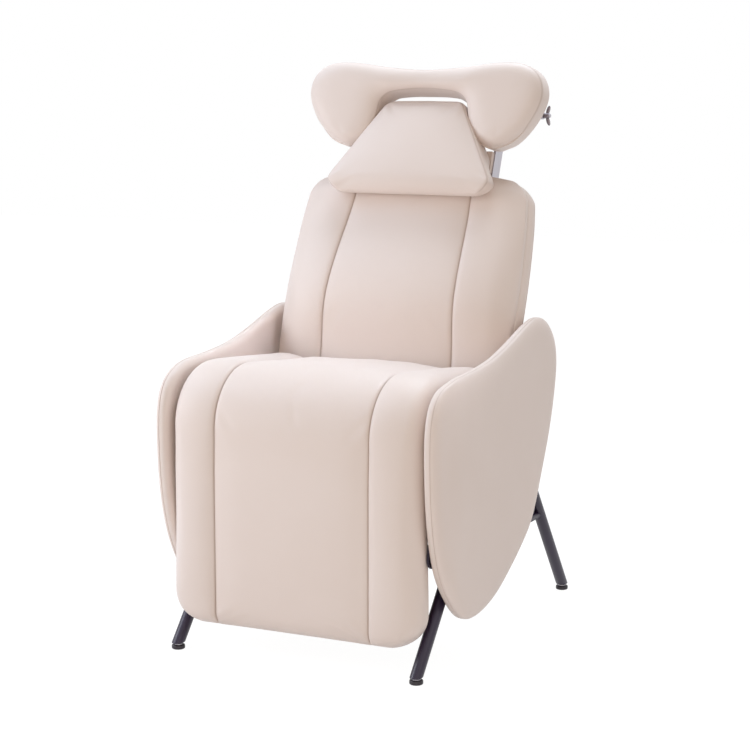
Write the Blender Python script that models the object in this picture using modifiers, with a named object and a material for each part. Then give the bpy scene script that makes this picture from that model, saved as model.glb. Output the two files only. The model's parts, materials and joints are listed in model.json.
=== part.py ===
"""A reclining treatment chair: padded seat, back and leg rest on splayed tube legs.

Metres, +Z up. The sitter faces -Y. The origin is on the floor, at the middle of the chair's
length and width.
"""
import math

import bmesh
import bpy
from mathutils import Matrix, Vector

# Clearances
GAP = 0.0003                      # between pieces that touch
PIN_PLAY = 0.0004                 # round a pin in its hole
PIN_PROUD = 0.003                 # pin or stud beyond the plate on it
EYE_MARGIN = 0.006                # metal round a pin's hole
PLATE_EDGE = 0.004                # corner radius of cut plates
CUT_PAST = 0.010                  # how far a cutter runs past what it cuts

# Feet and legs
TRACK = 0.530                     # between the left and right legs
FRONT_FOOT_Y = -0.384
REAR_FOOT_Y = 0.3885
FRONT_LEG_TOP_Y = -0.070
REAR_LEG_TOP_Y = 0.115
LEG_DIAMETER = 0.025
LEG_WALL = 0.002
GLIDE_DIAMETER = 0.027
GLIDE_HEIGHT = 0.009
GLIDE_STEM_DIAMETER = 0.008
GLIDE_STEM_SHOWING = 0.004
GLIDE_STEM_INSIDE = 0.008

# Frame
RAIL_BOTTOM = 0.375
RAIL_HEIGHT = 0.030
RAIL_WIDTH = 0.025
RAIL_FRONT_Y = -0.255
RAIL_REAR_Y = 0.140
STRETCHER_Z = 0.203
STRETCHER_DIAMETER = 0.016
CROSS_TUBE_Z = 0.330
CROSS_TUBE_DIAMETER = 0.022
HINGE_PLATE = 0.006
HINGE_PLATE_INSET = 0.003         # outer face, inside the rail's middle
HINGE_EYE_RADIUS = 0.020
HINGE_FOOT_LENGTH = 0.080
BEARER_THICKNESS = 0.018
REAR_BEARER_Y = -0.060
BEARER_NOTCH_MARGIN = 0.008
DECK_THICKNESS = 0.015
DECK_HALF_WIDTH = 0.250
DECK_BACK_CLEARANCE = 0.008
SEAT_SLOPE = math.radians(5.4)

# Knee hinge, back hinge and linkage
KNEE_Y = -0.277
KNEE_Z = 0.455
BACK_Y = 0.030
BACK_Z = 0.460
BACK_LEAN = math.radians(21.5)
RECLINE = math.radians(48)
LEG_RATIO = 1.5                   # leg rest turn for each turn of the back
SPIGOT_RADIUS = 0.007
KNEE_SHAFT_RADIUS = 0.010
KNEE_HUB_RADIUS = 0.013
BACK_TUBE_RADIUS = 0.011
BACK_HUB_RADIUS = 0.0115
CRANK_INSET = 0.030               # middle of the crank, inside the rail's middle
CRANK_PLATE = 0.006
BACK_CRANK_RADIUS = 0.090
LEG_CRANK_RADIUS = 0.062
STUD_RADIUS = 0.005
LINK_PLATE = 0.006
LINK_HALF_WIDTH = 0.012
LINK_SLOT_RISE = 0.0042           # travel of the stud in the link's slot
LINK_SLOT_SLACK = 0.0010
ARM_PLATE = 0.004
ARM_GAP = 0.0125                  # hinge plate to arm
ARM_HALF_WIDTH = 0.022
ARM_FOOT_Y = -0.338
ARM_FOOT_Z = 0.238

# Drive
DRIVE_DROP = 0.085                # rod line below the back hinge
ROD_RADIUS = 0.010
ROD_EYE_RADIUS = 0.012
ROD_EYE_HALF_WIDTH = 0.009
ROD_INSERTION = 0.030
DRIVE_TUBE_RADIUS = 0.015
DRIVE_TUBE_END_CLEARANCE = 0.015
GEARBOX_LENGTH = 0.060
GEARBOX_HALF_WIDTH = 0.027
GEARBOX_RISE = 0.024              # above the rod line
GEARBOX_DROP = 0.040              # below the rod line
MOTOR_RADIUS = 0.021
MOTOR_LENGTH = 0.090
FORK_GAP = 0.0015                 # rod eye to fork plate
FORK_PLATE = 0.005
FORK_SLOT_SLACK = 0.0012
SADDLE_HALF_WIDTH = 0.020
SADDLE_LENGTH = 0.024
SOCKET_RADIUS = 0.006
SOCKET_BORE_RADIUS = 0.0035
SOCKET_LENGTH = 0.010

# Seat, knee and leg pads
PAD_THICKNESS = 0.075             # seat and knee
KNEE_CORE_RADIUS = 0.047          # inside of the padded roll
KNEE_FORMER_WALL = 0.003
KNEE_END = math.radians(205)      # where the padded roll stops, from +Y over the top
SEAT_SEAM_X = 0.169
SEAT_CROWN = 0.0022
PAD_SHOULDER = 0.030              # radius of the rounded edges
PAD_EDGE_SHARE = 0.45             # share of the thickness left at an edge
SEAT_REAR_SHARE = 0.70
SEAM_EDGE_ROOM = 0.020            # least distance from a seam to the pad's side
SEAT_NARROWING = 0.45             # share of the seat's depth, from the rear, at full width
SEAM_DEPTH = 0.004
SEAT_REAR_CLEARANCE = 0.0105     # to the back pad below its swell
SEAT_SIDE_CLEARANCE = 0.007
PAD_SIDE_CLEARANCE = 0.0025       # pad to leg arm
LEG_PAD_FRONT_Y = -0.402
LEG_PAD_REAR_Y = -0.340
LEG_PAD_BOTTOM = 0.061
LEG_PAD_CORNER = 0.065
LEG_PAD_ROLL_CLEARANCE = 0.0035
LEG_PAD_SIDE_DRAW = 0.003         # sides drawn in at mid height
LEG_BOARD_THICKNESS = 0.011
LEG_BOARD_HALF_WIDTH = 0.235
LEG_BOARD_BOTTOM = 0.110
LEG_BOARD_TOP_MARGIN = 0.010
CROSSBAR_HEIGHT = 0.040
CROSSBAR_THICKNESS = 0.006

# Side panels
PANEL_BRACKET = 0.005
PANEL_THICKNESS = 0.033
PANEL_RIM = 0.013                 # straight edge below the rolled-over face
PANEL_ROLL = 0.060
PANEL_ROWS = 19
PANEL_LENGTH = 0.700              # along the petal, tip to top

# Back
BACK_SIDE_CLEARANCE = 0.0091      # to the side panels
BACK_WIDEST = 0.220               # up the back from the hinge
BACK_TAPER = 0.22                 # loss of half-width with distance squared
BACK_TOP = 0.505
BACK_CORNER = 0.042
BACK_LOW_CORNER = 0.095           # narrows between the hinge plates
BACK_SIDE_STEPS = 10              # points up a straight side
BACK_PAD_BOTTOM = -0.035
BACK_PAD_THICKNESS = 0.030
BACK_CROWN = 0.006
LUMBAR_SWELL = 0.036              # extra thickness at the small of the back
LUMBAR_UP = 0.217
LUMBAR_REACH_BELOW = 0.165
LUMBAR_REACH_ABOVE = 0.250
BACK_SIDE_SHOULDER = 0.090        # the outer channels turn back to the sides
BACK_LOW_SHOULDER = 0.035
BACK_TOP_SHOULDER = 0.045
BACK_TOP_FLAT = 0.0008            # short straight top edge
BACK_EDGE_SHARE = 0.35
BACK_SEAM_LOW_X = 0.153
BACK_SEAM_HIGH_X = 0.130
BACK_SEAM_BOW = 2.2               # the seams lean in ever more towards the top
BACK_BOARD_THICKNESS = 0.012
BACK_BOARD_MARGIN = 0.022
BACK_BOARD_BOTTOM = 0.016
SHELL_BOTTOM = 0.030
SHELL_WALL = 0.003
UPRIGHT_WALL = 0.003

# Headrest carrier
POST_X = 0.155
POST_THICKNESS = 0.005
POST_DEPTH = 0.036
POST_LIFT = 0.080
POST_INSERTION = 0.135            # left in the upright when raised
HEAD_AXIS_ABOVE_BACK = 0.147      # above the back's top
HEAD_AXIS_REAR = 0.0255           # behind the back's middle plane
POST_HEAD = 0.016                 # post above the axle
AXLE_RADIUS = 0.004
CLAMP_SLEEVE_RADIUS = 0.008
WING_X = 0.245
WING_HUB_LENGTH = 0.012
WING_HUB_RADIUS = 0.008
WING_SPAN = 0.042
WING_THICKNESS = 0.0035
WING_ROOT_RADIUS = 0.0045
WING_TIP_RADIUS = 0.0055
PILLOW_BOARD_THICKNESS = 0.012
PILLOW_BOARD_CLEARANCE = 0.008    # above the back's top
PILLOW_BOARD_FOOT = 0.045         # height of its wide foot
PILLOW_BOARD_TOP_MARGIN = 0.017   # below the pillow's top
PILLOW_BOARD_STEM_HALF_WIDTH = 0.080
PILLOW_OVERHANG = 0.066           # below the back's top
PILLOW_LOW_HALF_WIDTH = 0.192
PILLOW_TOP_HALF_WIDTH = 0.082
PILLOW_LOW_FRONT = -0.098
PILLOW_TOP_FRONT = -0.064
PILLOW_BACK_CLEARANCE = 0.003
PILLOW_LOW_CORNER = 0.040
PILLOW_SHOULDER = 0.045
PILLOW_TOP_SHOULDER = 0.035
PILLOW_EDGE_SHARE = 0.40
PILLOW_LOW_SHARE = 0.30
PILLOW_WIDEST = 0.10              # share of its height, from below
PILLOW_STEP_BELOW_TOP = 0.012     # where it steps back over the top of the back
PILLOW_STEP = 0.050

# Headrest
HEAD_LEAN = math.radians(10)
HEAD_REAR = 0.040                 # back face ahead of the axle
HEAD_BOARD_THICKNESS = 0.010
HEAD_BOARD_MARGIN = 0.018
HEAD_PAD_RIM = 0.036
HEAD_PAD_CROWN = 0.022
HEAD_SHOULDER = 0.040
HEAD_ROWS = 16                    # from a lobe's tip to the middle
HEAD_ROW_PITCH = 0.022
HEAD_BRACKET = 0.004
HEAD_BRACKET_EYE = 0.013
HEAD_BRACKET_DROP = 0.072
HEAD_BRACKET_LOW = -0.045         # on the board, from the axle
HEAD_BRACKET_HIGH = 0.020
HEAD_BRACKET_TAIL_Y = -0.004

# Outlines as seen square on, from the lower tip round to the top
PANEL_FRONT_EDGE = [(-0.250, 0.097), (-0.290, 0.124), (-0.328, 0.168), (-0.360, 0.225), (-0.384, 0.310),
                    (-0.394, 0.410), (-0.391, 0.500), (-0.362, 0.552), (-0.295, 0.574), (-0.200, 0.580),
                    (-0.105, 0.591), (-0.012, 0.614), (0.060, 0.636), (0.122, 0.6485)]
PANEL_REAR_EDGE = [(-0.210, 0.089), (-0.155, 0.093), (-0.095, 0.108), (-0.028, 0.140), (0.040, 0.180),
                   (0.098, 0.226), (0.150, 0.318), (0.190, 0.398), (0.214, 0.468), (0.227, 0.530),
                   (0.223, 0.575), (0.200, 0.612), (0.163, 0.6385)]
# Half of the arch, across the chair and up from the axle, from the lobe's tip to the middle
HEAD_OUTER_EDGE = [(0.183, -0.083), (0.222, -0.066), (0.256, -0.024), (0.2735, 0.026), (0.263, 0.069),
                   (0.226, 0.095), (0.168, 0.098), (0.084, 0.088), (0.0, 0.083)]
HEAD_INNER_EDGE = [(0.166, -0.083), (0.141, -0.072), (0.120, -0.046), (0.107, -0.014), (0.096, 0.010),
                   (0.076, 0.024), (0.050, 0.028), (0.024, 0.029), (0.0, 0.029)]

# Worked out from the sizes above
HALF_TRACK = TRACK / 2
LEG_FOOT_Z = GLIDE_HEIGHT + GLIDE_STEM_SHOWING
RAIL_TOP = RAIL_BOTTOM + RAIL_HEIGHT
RAIL_OUTER_X = HALF_TRACK + RAIL_WIDTH / 2
FRONT_BEARER_Y = RAIL_FRONT_Y + HINGE_FOOT_LENGTH + GAP + BEARER_THICKNESS / 2
PANEL_INNER_X = RAIL_OUTER_X + PANEL_BRACKET + 2 * GAP
HINGE_OUTER_X = HALF_TRACK - HINGE_PLATE_INSET
HINGE_INNER_X = HINGE_OUTER_X - HINGE_PLATE
ARM_INNER_X = HINGE_OUTER_X + ARM_GAP
ARM_OUTER_X = ARM_INNER_X + ARM_PLATE
CRANK_X = HALF_TRACK - CRANK_INSET
CRANK_OUTER_X = CRANK_X + CRANK_PLATE / 2
LINK_INNER_X = CRANK_OUTER_X + GAP
LINK_OUTER_X = LINK_INNER_X + LINK_PLATE
PAD_HALF_WIDTH = ARM_INNER_X - PAD_SIDE_CLEARANCE
SEAT_HALF_WIDTH = PANEL_INNER_X - SEAT_SIDE_CLEARANCE
BACK_HALF_WIDTH = PANEL_INNER_X - BACK_SIDE_CLEARANCE
BACK_CRANK_REST = RECLINE / 2     # behind straight down
LEG_CRANK_REST = RECLINE * LEG_RATIO / 2
BACK_PAD_REAR = -BACK_BOARD_THICKNESS - GAP
BACK_PAD_FRONT = BACK_PAD_REAR - BACK_PAD_THICKNESS
UPRIGHT_FRONT = GAP
POST_FRONT = UPRIGHT_FRONT + UPRIGHT_WALL + GAP
POST_REAR = POST_FRONT + POST_DEPTH
UPRIGHT_REAR = POST_REAR + GAP + UPRIGHT_WALL
SHELL_REAR = UPRIGHT_REAR + GAP + SHELL_WALL
HEAD_AXIS_UP = BACK_TOP + HEAD_AXIS_ABOVE_BACK
PILLOW_BOTTOM = BACK_TOP - PILLOW_OVERHANG
PILLOW_TOP = HEAD_AXIS_UP
PILLOW_BOARD_BOTTOM = BACK_TOP + PILLOW_BOARD_CLEARANCE
PILLOW_BOARD_SHOULDER = PILLOW_BOARD_BOTTOM + PILLOW_BOARD_FOOT
PILLOW_BOARD_TOP = PILLOW_TOP - PILLOW_BOARD_TOP_MARGIN
POST_TOP = HEAD_AXIS_UP + POST_HEAD
POST_BOTTOM = BACK_TOP - POST_LIFT - POST_INSERTION
BRACKET_INNER_X = POST_X + POST_THICKNESS / 2 + GAP
BRACKET_OUTER_X = BRACKET_INNER_X + HEAD_BRACKET
HEAD_PAD_REAR = HEAD_REAR + HEAD_BOARD_THICKNESS + GAP
DRIVE_Z = BACK_Z - DRIVE_DROP
ROD_PIN_Y = BACK_Y + DRIVE_DROP * math.tan(BACK_CRANK_REST)
ROD_TRAVEL = 2 * DRIVE_DROP * math.tan(BACK_CRANK_REST)
KNEE = Vector((0.0, KNEE_Y, KNEE_Z))
BACK = Vector((0.0, BACK_Y, BACK_Z))
UP_BACK = Vector((0.0, math.sin(BACK_LEAN), math.cos(BACK_LEAN)))
BEHIND_BACK = Vector((0.0, math.cos(BACK_LEAN), -math.sin(BACK_LEAN)))
HEAD_AXIS = BACK + UP_BACK * HEAD_AXIS_UP + BEHIND_BACK * HEAD_AXIS_REAR
SIDES = {"left": 1, "right": -1}  # the sitter's left is +X

ROUND_SIDES = 16
SIDE_PLANE = Matrix(((0, 0, 1, 0), (1, 0, 0, 0), (0, 1, 0, 0), (0, 0, 0, 1)))    # outline in Y and Z
FRONT_PLANE = Matrix(((1, 0, 0, 0), (0, 0, -1, 0), (0, 1, 0, 0), (0, 0, 0, 1)))  # outline in X and Z
# Columns across a channelled pad: 0 is its middle, 1 a seam and 2 its side edge
CHANNEL_COLUMNS = [0.0, 0.5, 0.88, 1.0, 1.14, 1.5, 1.82, 1.95, 2.0]
CHANNEL_COLUMNS = [-c for c in CHANNEL_COLUMNS[:0:-1]] + CHANNEL_COLUMNS


def clear_scene():
    for old in list(bpy.data.objects):
        bpy.data.objects.remove(old)


def collection(name):
    made = bpy.data.collections.new(name)
    bpy.context.scene.collection.children.link(made)
    return made


def finish(name, colour, roughness, metallic=0.0):
    made = bpy.data.materials.new(name)
    made.use_nodes = True
    shader = made.node_tree.nodes["Principled BSDF"]
    shader.inputs["Base Color"].default_value = (*colour, 1.0)
    shader.inputs["Roughness"].default_value = roughness
    shader.inputs["Metallic"].default_value = metallic
    return made


clear_scene()
PARTS = collection("eyelash_chair")
CUTTERS = collection("cutters")
LEATHER = finish("blush_faux_leather", (0.75, 0.66, 0.62), 0.45)
BLACK_STEEL = finish("black_coated_steel", (0.03, 0.025, 0.03), 0.45, 0.3)
BRIGHT_STEEL = finish("zinc_plated_steel", (0.60, 0.59, 0.61), 0.30, 1.0)
PLYWOOD = finish("plywood", (0.55, 0.40, 0.25), 0.60)
BLACK_PLASTIC = finish("black_plastic", (0.025, 0.022, 0.025), 0.50)


def pivot(name, place, lean=0.0, parent=None):
    """An empty on a joint's axis, leaning back by an angle."""
    made = bpy.data.objects.new(name, None)
    made.matrix_world = Matrix.Translation(place) @ Matrix.Rotation(-lean, 4, "X")
    PARTS.objects.link(made)
    bpy.context.view_layer.update()
    if parent:
        carry(made, parent)
    return made


def carry(child, parent):
    """Parent a piece and leave it where it is."""
    child.parent = parent
    child.matrix_parent_inverse = parent.matrix_world.inverted()


def add_object(name, mesh, surface, parent, group):
    """A piece whose mesh is in its pivot's own frame, or in the chair's if it has none."""
    made = bpy.data.objects.new(name, mesh)
    group.objects.link(made)
    made.parent = parent
    if surface:
        mesh.materials.append(surface)
    mesh.shade_smooth()
    mesh.set_sharp_from_angle(angle=math.radians(35))
    if group is CUTTERS:
        made.hide_render = True
        made.display_type = "WIRE"
    return made


def face_outwards(bm):
    bmesh.ops.recalc_face_normals(bm, faces=bm.faces)
    if bm.calc_volume(signed=True) < 0:
        bmesh.ops.reverse_faces(bm, faces=bm.faces)


def from_bmesh(name, bm, surface=None, parent=None, group=PARTS):
    face_outwards(bm)
    mesh = bpy.data.meshes.new(name)
    bm.to_mesh(mesh)
    bm.free()
    return add_object(name, mesh, surface, parent, group)


def box(name, low, high, surface=None, parent=None, group=PARTS):
    bm = bmesh.new()
    bmesh.ops.create_cube(bm, size=1.0)
    for vert in bm.verts:
        vert.co = Vector(l + (c + 0.5) * (h - l) for l, h, c in zip(low, high, vert.co))
    return from_bmesh(name, bm, surface, parent, group)


def rod(name, start, end, radius, surface=None, parent=None, group=PARTS, sides=ROUND_SIDES, capped=True):
    start, end = Vector(start), Vector(end)
    along = end - start
    turn = Matrix.Translation((start + end) / 2) @ along.to_track_quat("Z", "Y").to_matrix().to_4x4()
    bm = bmesh.new()
    bmesh.ops.create_cone(bm, cap_ends=capped, segments=sides, radius1=radius, radius2=radius,
                          depth=along.length, matrix=turn)
    return from_bmesh(name, bm, surface, parent, group)


def hollow(piece, wall):
    """Give an open surface a wall, inwards."""
    solidify = piece.modifiers.new("wall", "SOLIDIFY")
    solidify.thickness = wall
    solidify.offset = -1.0
    solidify.use_even_offset = True
    return piece


def pipe(name, start, end, radius, bore, surface, parent=None):
    return hollow(rod(name, start, end, radius, surface, parent, capped=False), radius - bore)


def boolean(piece, tool, operation):
    modifier = piece.modifiers.new(tool.name, "BOOLEAN")
    modifier.operation = operation
    modifier.object = tool


def turned(name, profile, surface, parent=None, along_x=False):
    """A lathe shape: (radius, height) pairs down the outer side, top to bottom."""
    bm = bmesh.new()
    verts = [bm.verts.new((radius, 0.0, height)) for radius, height in profile]
    for upper, lower in zip(verts, verts[1:]):
        bm.edges.new((upper, lower))
    mesh = bpy.data.meshes.new(name)
    bm.to_mesh(mesh)
    bm.free()
    piece = add_object(name, mesh, surface, parent, PARTS)
    screw = piece.modifiers.new("turn", "SCREW")
    screw.steps = screw.render_steps = ROUND_SIDES
    screw.use_merge_vertices = True
    screw.merge_threshold = 0.0001
    if along_x:
        piece.rotation_euler = (0.0, math.pi / 2, 0.0)
    return piece


def circle(centre, radius, count=ROUND_SIDES):
    steps = [2 * math.pi * k / count for k in range(count)]
    return [(centre[0] + radius * math.cos(a), centre[1] + radius * math.sin(a)) for a in steps]


def hull(rounds):
    """The band stretched round some circles, each given as (centre, radius)."""
    points = sorted(set(p for centre, radius in rounds for p in circle(centre, radius)))
    half_chains = []
    for ordered in (points, points[::-1]):
        chain = []
        for p in ordered:
            while len(chain) > 1 and turn_of(chain[-2], chain[-1], p) <= 1e-9:
                chain.pop()
            chain.append(p)
        half_chains.append(chain[:-1])
    return half_chains[0] + half_chains[1]


def turn_of(a, b, c):
    return (b[0] - a[0]) * (c[1] - a[1]) - (b[1] - a[1]) * (c[0] - a[0])


def flat_mesh(name, outlines, low, high, plane):
    """A filled outline with holes, from one depth to another, laid in a plane."""
    curve = bpy.data.curves.new(name, "CURVE")
    curve.dimensions = "2D"
    curve.fill_mode = "BOTH"
    curve.extrude = abs(high - low) / 2
    for outline in outlines:
        spline = curve.splines.new("POLY")
        spline.points.add(len(outline) - 1)
        for point, (a, b) in zip(spline.points, outline):
            point.co = (a, b, 0.0, 1.0)
        spline.use_cyclic_u = True
    drawn = bpy.data.objects.new(name, curve)
    bpy.context.scene.collection.objects.link(drawn)
    bpy.context.view_layer.update()
    evaluated = drawn.evaluated_get(bpy.context.evaluated_depsgraph_get())
    mesh = bpy.data.meshes.new_from_object(evaluated)
    bpy.data.objects.remove(drawn)
    bm = bmesh.new()
    bm.from_mesh(mesh)
    bmesh.ops.remove_doubles(bm, verts=bm.verts, dist=0.00001)
    bm.transform(plane @ Matrix.Translation((0.0, 0.0, (low + high) / 2)))
    face_outwards(bm)
    bm.to_mesh(mesh)
    bm.free()
    return mesh


def flat(name, outlines, low, high, plane, surface=None, parent=None, group=PARTS):
    return add_object(name, flat_mesh(name, outlines, low, high, plane), surface, parent, group)


def between(a, b, c, d, t):
    """A smooth value part of the way from b to c, with a before them and d after."""
    slope = c - a
    bend = 2 * a - 5 * b + 4 * c - d
    twist = 3 * b - a - 3 * c + d
    return b + 0.5 * t * (slope + t * (bend + t * twist))


def smooth_line(points, count):
    """Points spread evenly along a smooth curve through the given ones."""
    ends = [points[0]] + list(points) + [points[-1]]
    steps = 12
    fine = []
    for p0, p1, p2, p3 in zip(ends, ends[1:], ends[2:], ends[3:]):
        for t in [k / steps for k in range(steps)]:
            fine.append(tuple(between(*four, t) for four in zip(p0, p1, p2, p3)))
    fine.append(tuple(points[-1]))
    reach = [0.0]
    for a, b in zip(fine, fine[1:]):
        reach.append(reach[-1] + math.dist(a, b))
    return [at_distance(fine, reach, reach[-1] * k / (count - 1)) for k in range(count)]


def at_distance(line, reach, wanted):
    for k in range(1, len(line)):
        if reach[k] >= wanted - 1e-9:
            share = (wanted - reach[k - 1]) / (reach[k] - reach[k - 1])
            return tuple(a + share * (b - a) for a, b in zip(line[k - 1], line[k]))
    return line[-1]


def shoulder(distance, radius, least):
    """Share of a pad's height at a distance in from its edge: a rounded shoulder."""
    if distance >= radius:
        return 1.0
    return least + (1.0 - least) * math.sqrt(1.0 - (1.0 - max(distance, 0.0) / radius) ** 2)


def corner_loss(distance, radius):
    """How much a rounded corner takes off the half-width at a distance in from the end."""
    if distance >= radius:
        return 0.0
    return radius - math.sqrt(radius ** 2 - (radius - distance) ** 2)


def mix(a, b, share):
    return a + (b - a) * share


def padded(name, columns, rows, place, parent=None):
    """A cushion: a grid raised into a second layer. place(column, row) gives its underside and its top."""
    bm = bmesh.new()
    bmesh.ops.create_grid(bm, x_segments=len(columns) - 1, y_segments=len(rows) - 1, size=0.5)
    raised = bmesh.ops.extrude_face_region(bm, geom=bm.faces[:], use_keep_orig=True)
    upper = {item for item in raised["geom"] if isinstance(item, bmesh.types.BMVert)}
    for vert in bm.verts:
        column = columns[round((vert.co.x + 0.5) * (len(columns) - 1))]
        row = rows[round((vert.co.y + 0.5) * (len(rows) - 1))]
        under, top = place(column, row)
        vert.co = top if vert in upper else under
    return from_bmesh(name, bm, LEATHER, parent)


def channel_x(column, seam, half_width):
    beyond = abs(column) - 1.0
    across = abs(column) * seam if beyond <= 0 else seam + beyond * (half_width - seam)
    return math.copysign(across, column)


def channel_rise(column, crown):
    """Swell of each channel between its seams, with the seams drawn down."""
    c = abs(column)
    if c == 1.0:
        return -SEAM_DEPTH
    return crown * (1.0 - c * c) if c < 1.0 else crown * 4.0 * (c - 1.0) * (2.0 - c)


def down_from(hinge, radius, behind):
    """A point below a hinge, turned back from straight down."""
    return hinge + Vector((0.0, radius * math.sin(behind), -radius * math.cos(behind)))


def side(point):
    return (point[1], point[2])


# Base frame
def leg_y(z, foot_y, top_y):
    return mix(foot_y, top_y, (z - LEG_FOOT_Z) / (RAIL_BOTTOM - GAP - LEG_FOOT_Z))


def slanted_rod(name, x, foot_y, top_y, radius, low, high, surface=None, group=PARTS):
    """A round bar along a leg's line, with level ends."""
    stretch = leg_reach(foot_y, top_y) / (LEG_DIAMETER / 2)
    bm = bmesh.new()
    bmesh.ops.create_cone(bm, cap_ends=True, segments=ROUND_SIDES, radius1=radius, radius2=radius, depth=1.0)
    for vert in bm.verts:
        z = mix(low, high, vert.co.z + 0.5)
        vert.co = Vector((x + vert.co.x, leg_y(z, foot_y, top_y) + vert.co.y * stretch, z))
    return from_bmesh(name, bm, surface, group=group)


def leg(name, x, foot_y, top_y):
    """A slanted tube, open under the rail, with a hole for the glide's stem in its closed foot."""
    radius = LEG_DIAMETER / 2
    piece = slanted_rod(name, x, foot_y, top_y, radius, LEG_FOOT_Z, RAIL_BOTTOM - GAP, BLACK_STEEL)
    bore = slanted_rod(name + "_bore", x, foot_y, top_y, radius - LEG_WALL, LEG_FOOT_Z + LEG_WALL,
                       RAIL_TOP, group=CUTTERS)
    boolean(piece, bore, "DIFFERENCE")
    hole = rod(name + "_hole", (x, foot_y, 0.0), (x, foot_y, LEG_FOOT_Z + GLIDE_STEM_INSIDE),
               GLIDE_STEM_DIAMETER / 2 + GAP, group=CUTTERS)
    boolean(piece, hole, "DIFFERENCE")


def glide(name, x, foot_y):
    axis = pivot(name + "_axis", (x, foot_y, 0.0))
    stem_top = LEG_FOOT_Z + GLIDE_STEM_INSIDE - 2 * GAP
    stem, rim = GLIDE_STEM_DIAMETER / 2, GLIDE_DIAMETER / 2
    edge = GLIDE_HEIGHT / 4
    turned(name, [(0.0, stem_top), (stem, stem_top), (stem, GLIDE_HEIGHT), (rim - edge, GLIDE_HEIGHT),
                  (rim, GLIDE_HEIGHT - edge), (rim, 0.0), (0.0, 0.0)], BLACK_PLASTIC, axis)


def stretcher(name, x):
    """A level tube between two legs, its ends cut to their slant."""
    bm = bmesh.new()
    radius = STRETCHER_DIAMETER / 2
    level = Matrix.Rotation(math.pi / 2, 4, "X")
    bmesh.ops.create_cone(bm, cap_ends=True, segments=ROUND_SIDES, radius1=radius, radius2=radius, depth=1.0,
                          matrix=level)
    for vert in bm.verts:
        z = STRETCHER_Z + vert.co.z
        if vert.co.y < 0:
            y = leg_y(z, FRONT_FOOT_Y, FRONT_LEG_TOP_Y) + leg_reach(FRONT_FOOT_Y, FRONT_LEG_TOP_Y) + GAP
        else:
            y = leg_y(z, REAR_FOOT_Y, REAR_LEG_TOP_Y) - leg_reach(REAR_FOOT_Y, REAR_LEG_TOP_Y) - GAP
        vert.co = Vector((x + vert.co.x, y, z))
    from_bmesh(name, bm, BLACK_STEEL)


def leg_reach(foot_y, top_y):
    """Half the level length of a slanted leg's section."""
    height = RAIL_BOTTOM - GAP - LEG_FOOT_Z
    return LEG_DIAMETER / 2 * math.hypot(top_y - foot_y, height) / height


def cross_tube(name, foot_y, top_y):
    y = leg_y(CROSS_TUBE_Z, foot_y, top_y)
    reach = HALF_TRACK - LEG_DIAMETER / 2 - GAP
    rod(name, (-reach, y, CROSS_TUBE_Z), (reach, y, CROSS_TUBE_Z), CROSS_TUBE_DIAMETER / 2, BLACK_STEEL)
    return y


def deck_normal():
    return Vector((0.0, math.sin(SEAT_SLOPE), math.cos(SEAT_SLOPE)))


def deck_line(y, offset):
    """Height of a line along the seat deck, offset from the top of the knee core."""
    normal = deck_normal()
    start = KNEE + normal * (KNEE_CORE_RADIUS + offset)
    return start.z - (y - start.y) * math.tan(SEAT_SLOPE)


def bearer(name, y):
    """A board on edge across the rails, notched over the two drag links."""
    low = RAIL_TOP + GAP
    rear = y + BEARER_THICKNESS / 2
    high = deck_line(rear, -GAP - DECK_THICKNESS / math.cos(SEAT_SLOPE)) - GAP
    notch_in = CRANK_X - CRANK_PLATE / 2 - BEARER_NOTCH_MARGIN
    notch_out = LINK_OUTER_X + BEARER_NOTCH_MARGIN / 2
    front_stud = down_from(KNEE, LEG_CRANK_RADIUS, LEG_CRANK_REST)
    notch_top = front_stud.z + LINK_HALF_WIDTH + BEARER_NOTCH_MARGIN
    half = [(notch_in, low), (notch_in, notch_top), (notch_out, notch_top), (notch_out, low),
            (RAIL_OUTER_X, low), (RAIL_OUTER_X, high)]
    outline = half + [(-x, z) for x, z in half[::-1]]
    flat(name, [outline], -rear, BEARER_THICKNESS - rear, FRONT_PLANE, PLYWOOD)


def seat_rear_plane():
    """Distance behind the back's middle plane where the seat pad stops."""
    return BACK_PAD_FRONT - BACK_CROWN - SEAT_REAR_CLEARANCE


def meet_back(offset):
    """Where a line along the deck, at an offset, meets the plane in front of the back."""
    start = KNEE + deck_normal() * (KNEE_CORE_RADIUS + offset)
    along = Vector((0.0, math.cos(SEAT_SLOPE), -math.sin(SEAT_SLOPE)))
    share = (seat_rear_plane() - (start - BACK).dot(BEHIND_BACK)) / along.dot(BEHIND_BACK)
    return start + along * share


def seat_deck():
    normal = deck_normal()
    along = Vector((0.0, math.cos(SEAT_SLOPE), -math.sin(SEAT_SLOPE)))
    front_top = KNEE + normal * (KNEE_CORE_RADIUS - GAP)
    rear_top = meet_back(-GAP) - along * DECK_BACK_CLEARANCE
    thick = normal * DECK_THICKNESS
    outline = [side(p) for p in (front_top, rear_top, rear_top - thick, front_top - thick)]
    flat("seat_deck", [outline], -DECK_HALF_WIDTH, DECK_HALF_WIDTH, SIDE_PLANE, PLYWOOD)


def knee_former():
    """A bent sheet that carries the padded roll, from the deck's front edge round the knee."""
    outer = KNEE_CORE_RADIUS - GAP
    angles = [mix(math.pi / 2 - SEAT_SLOPE + GAP / outer, KNEE_END, k / 16) for k in range(17)]
    outline = [(KNEE_Y + outer * math.cos(a), KNEE_Z + outer * math.sin(a)) for a in angles]
    inner = outer - KNEE_FORMER_WALL
    outline += [(KNEE_Y + inner * math.cos(a), KNEE_Z + inner * math.sin(a)) for a in angles[::-1]]
    flat("knee_former", [outline], -DECK_HALF_WIDTH, DECK_HALF_WIDTH, SIDE_PLANE, BLACK_STEEL)


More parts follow.
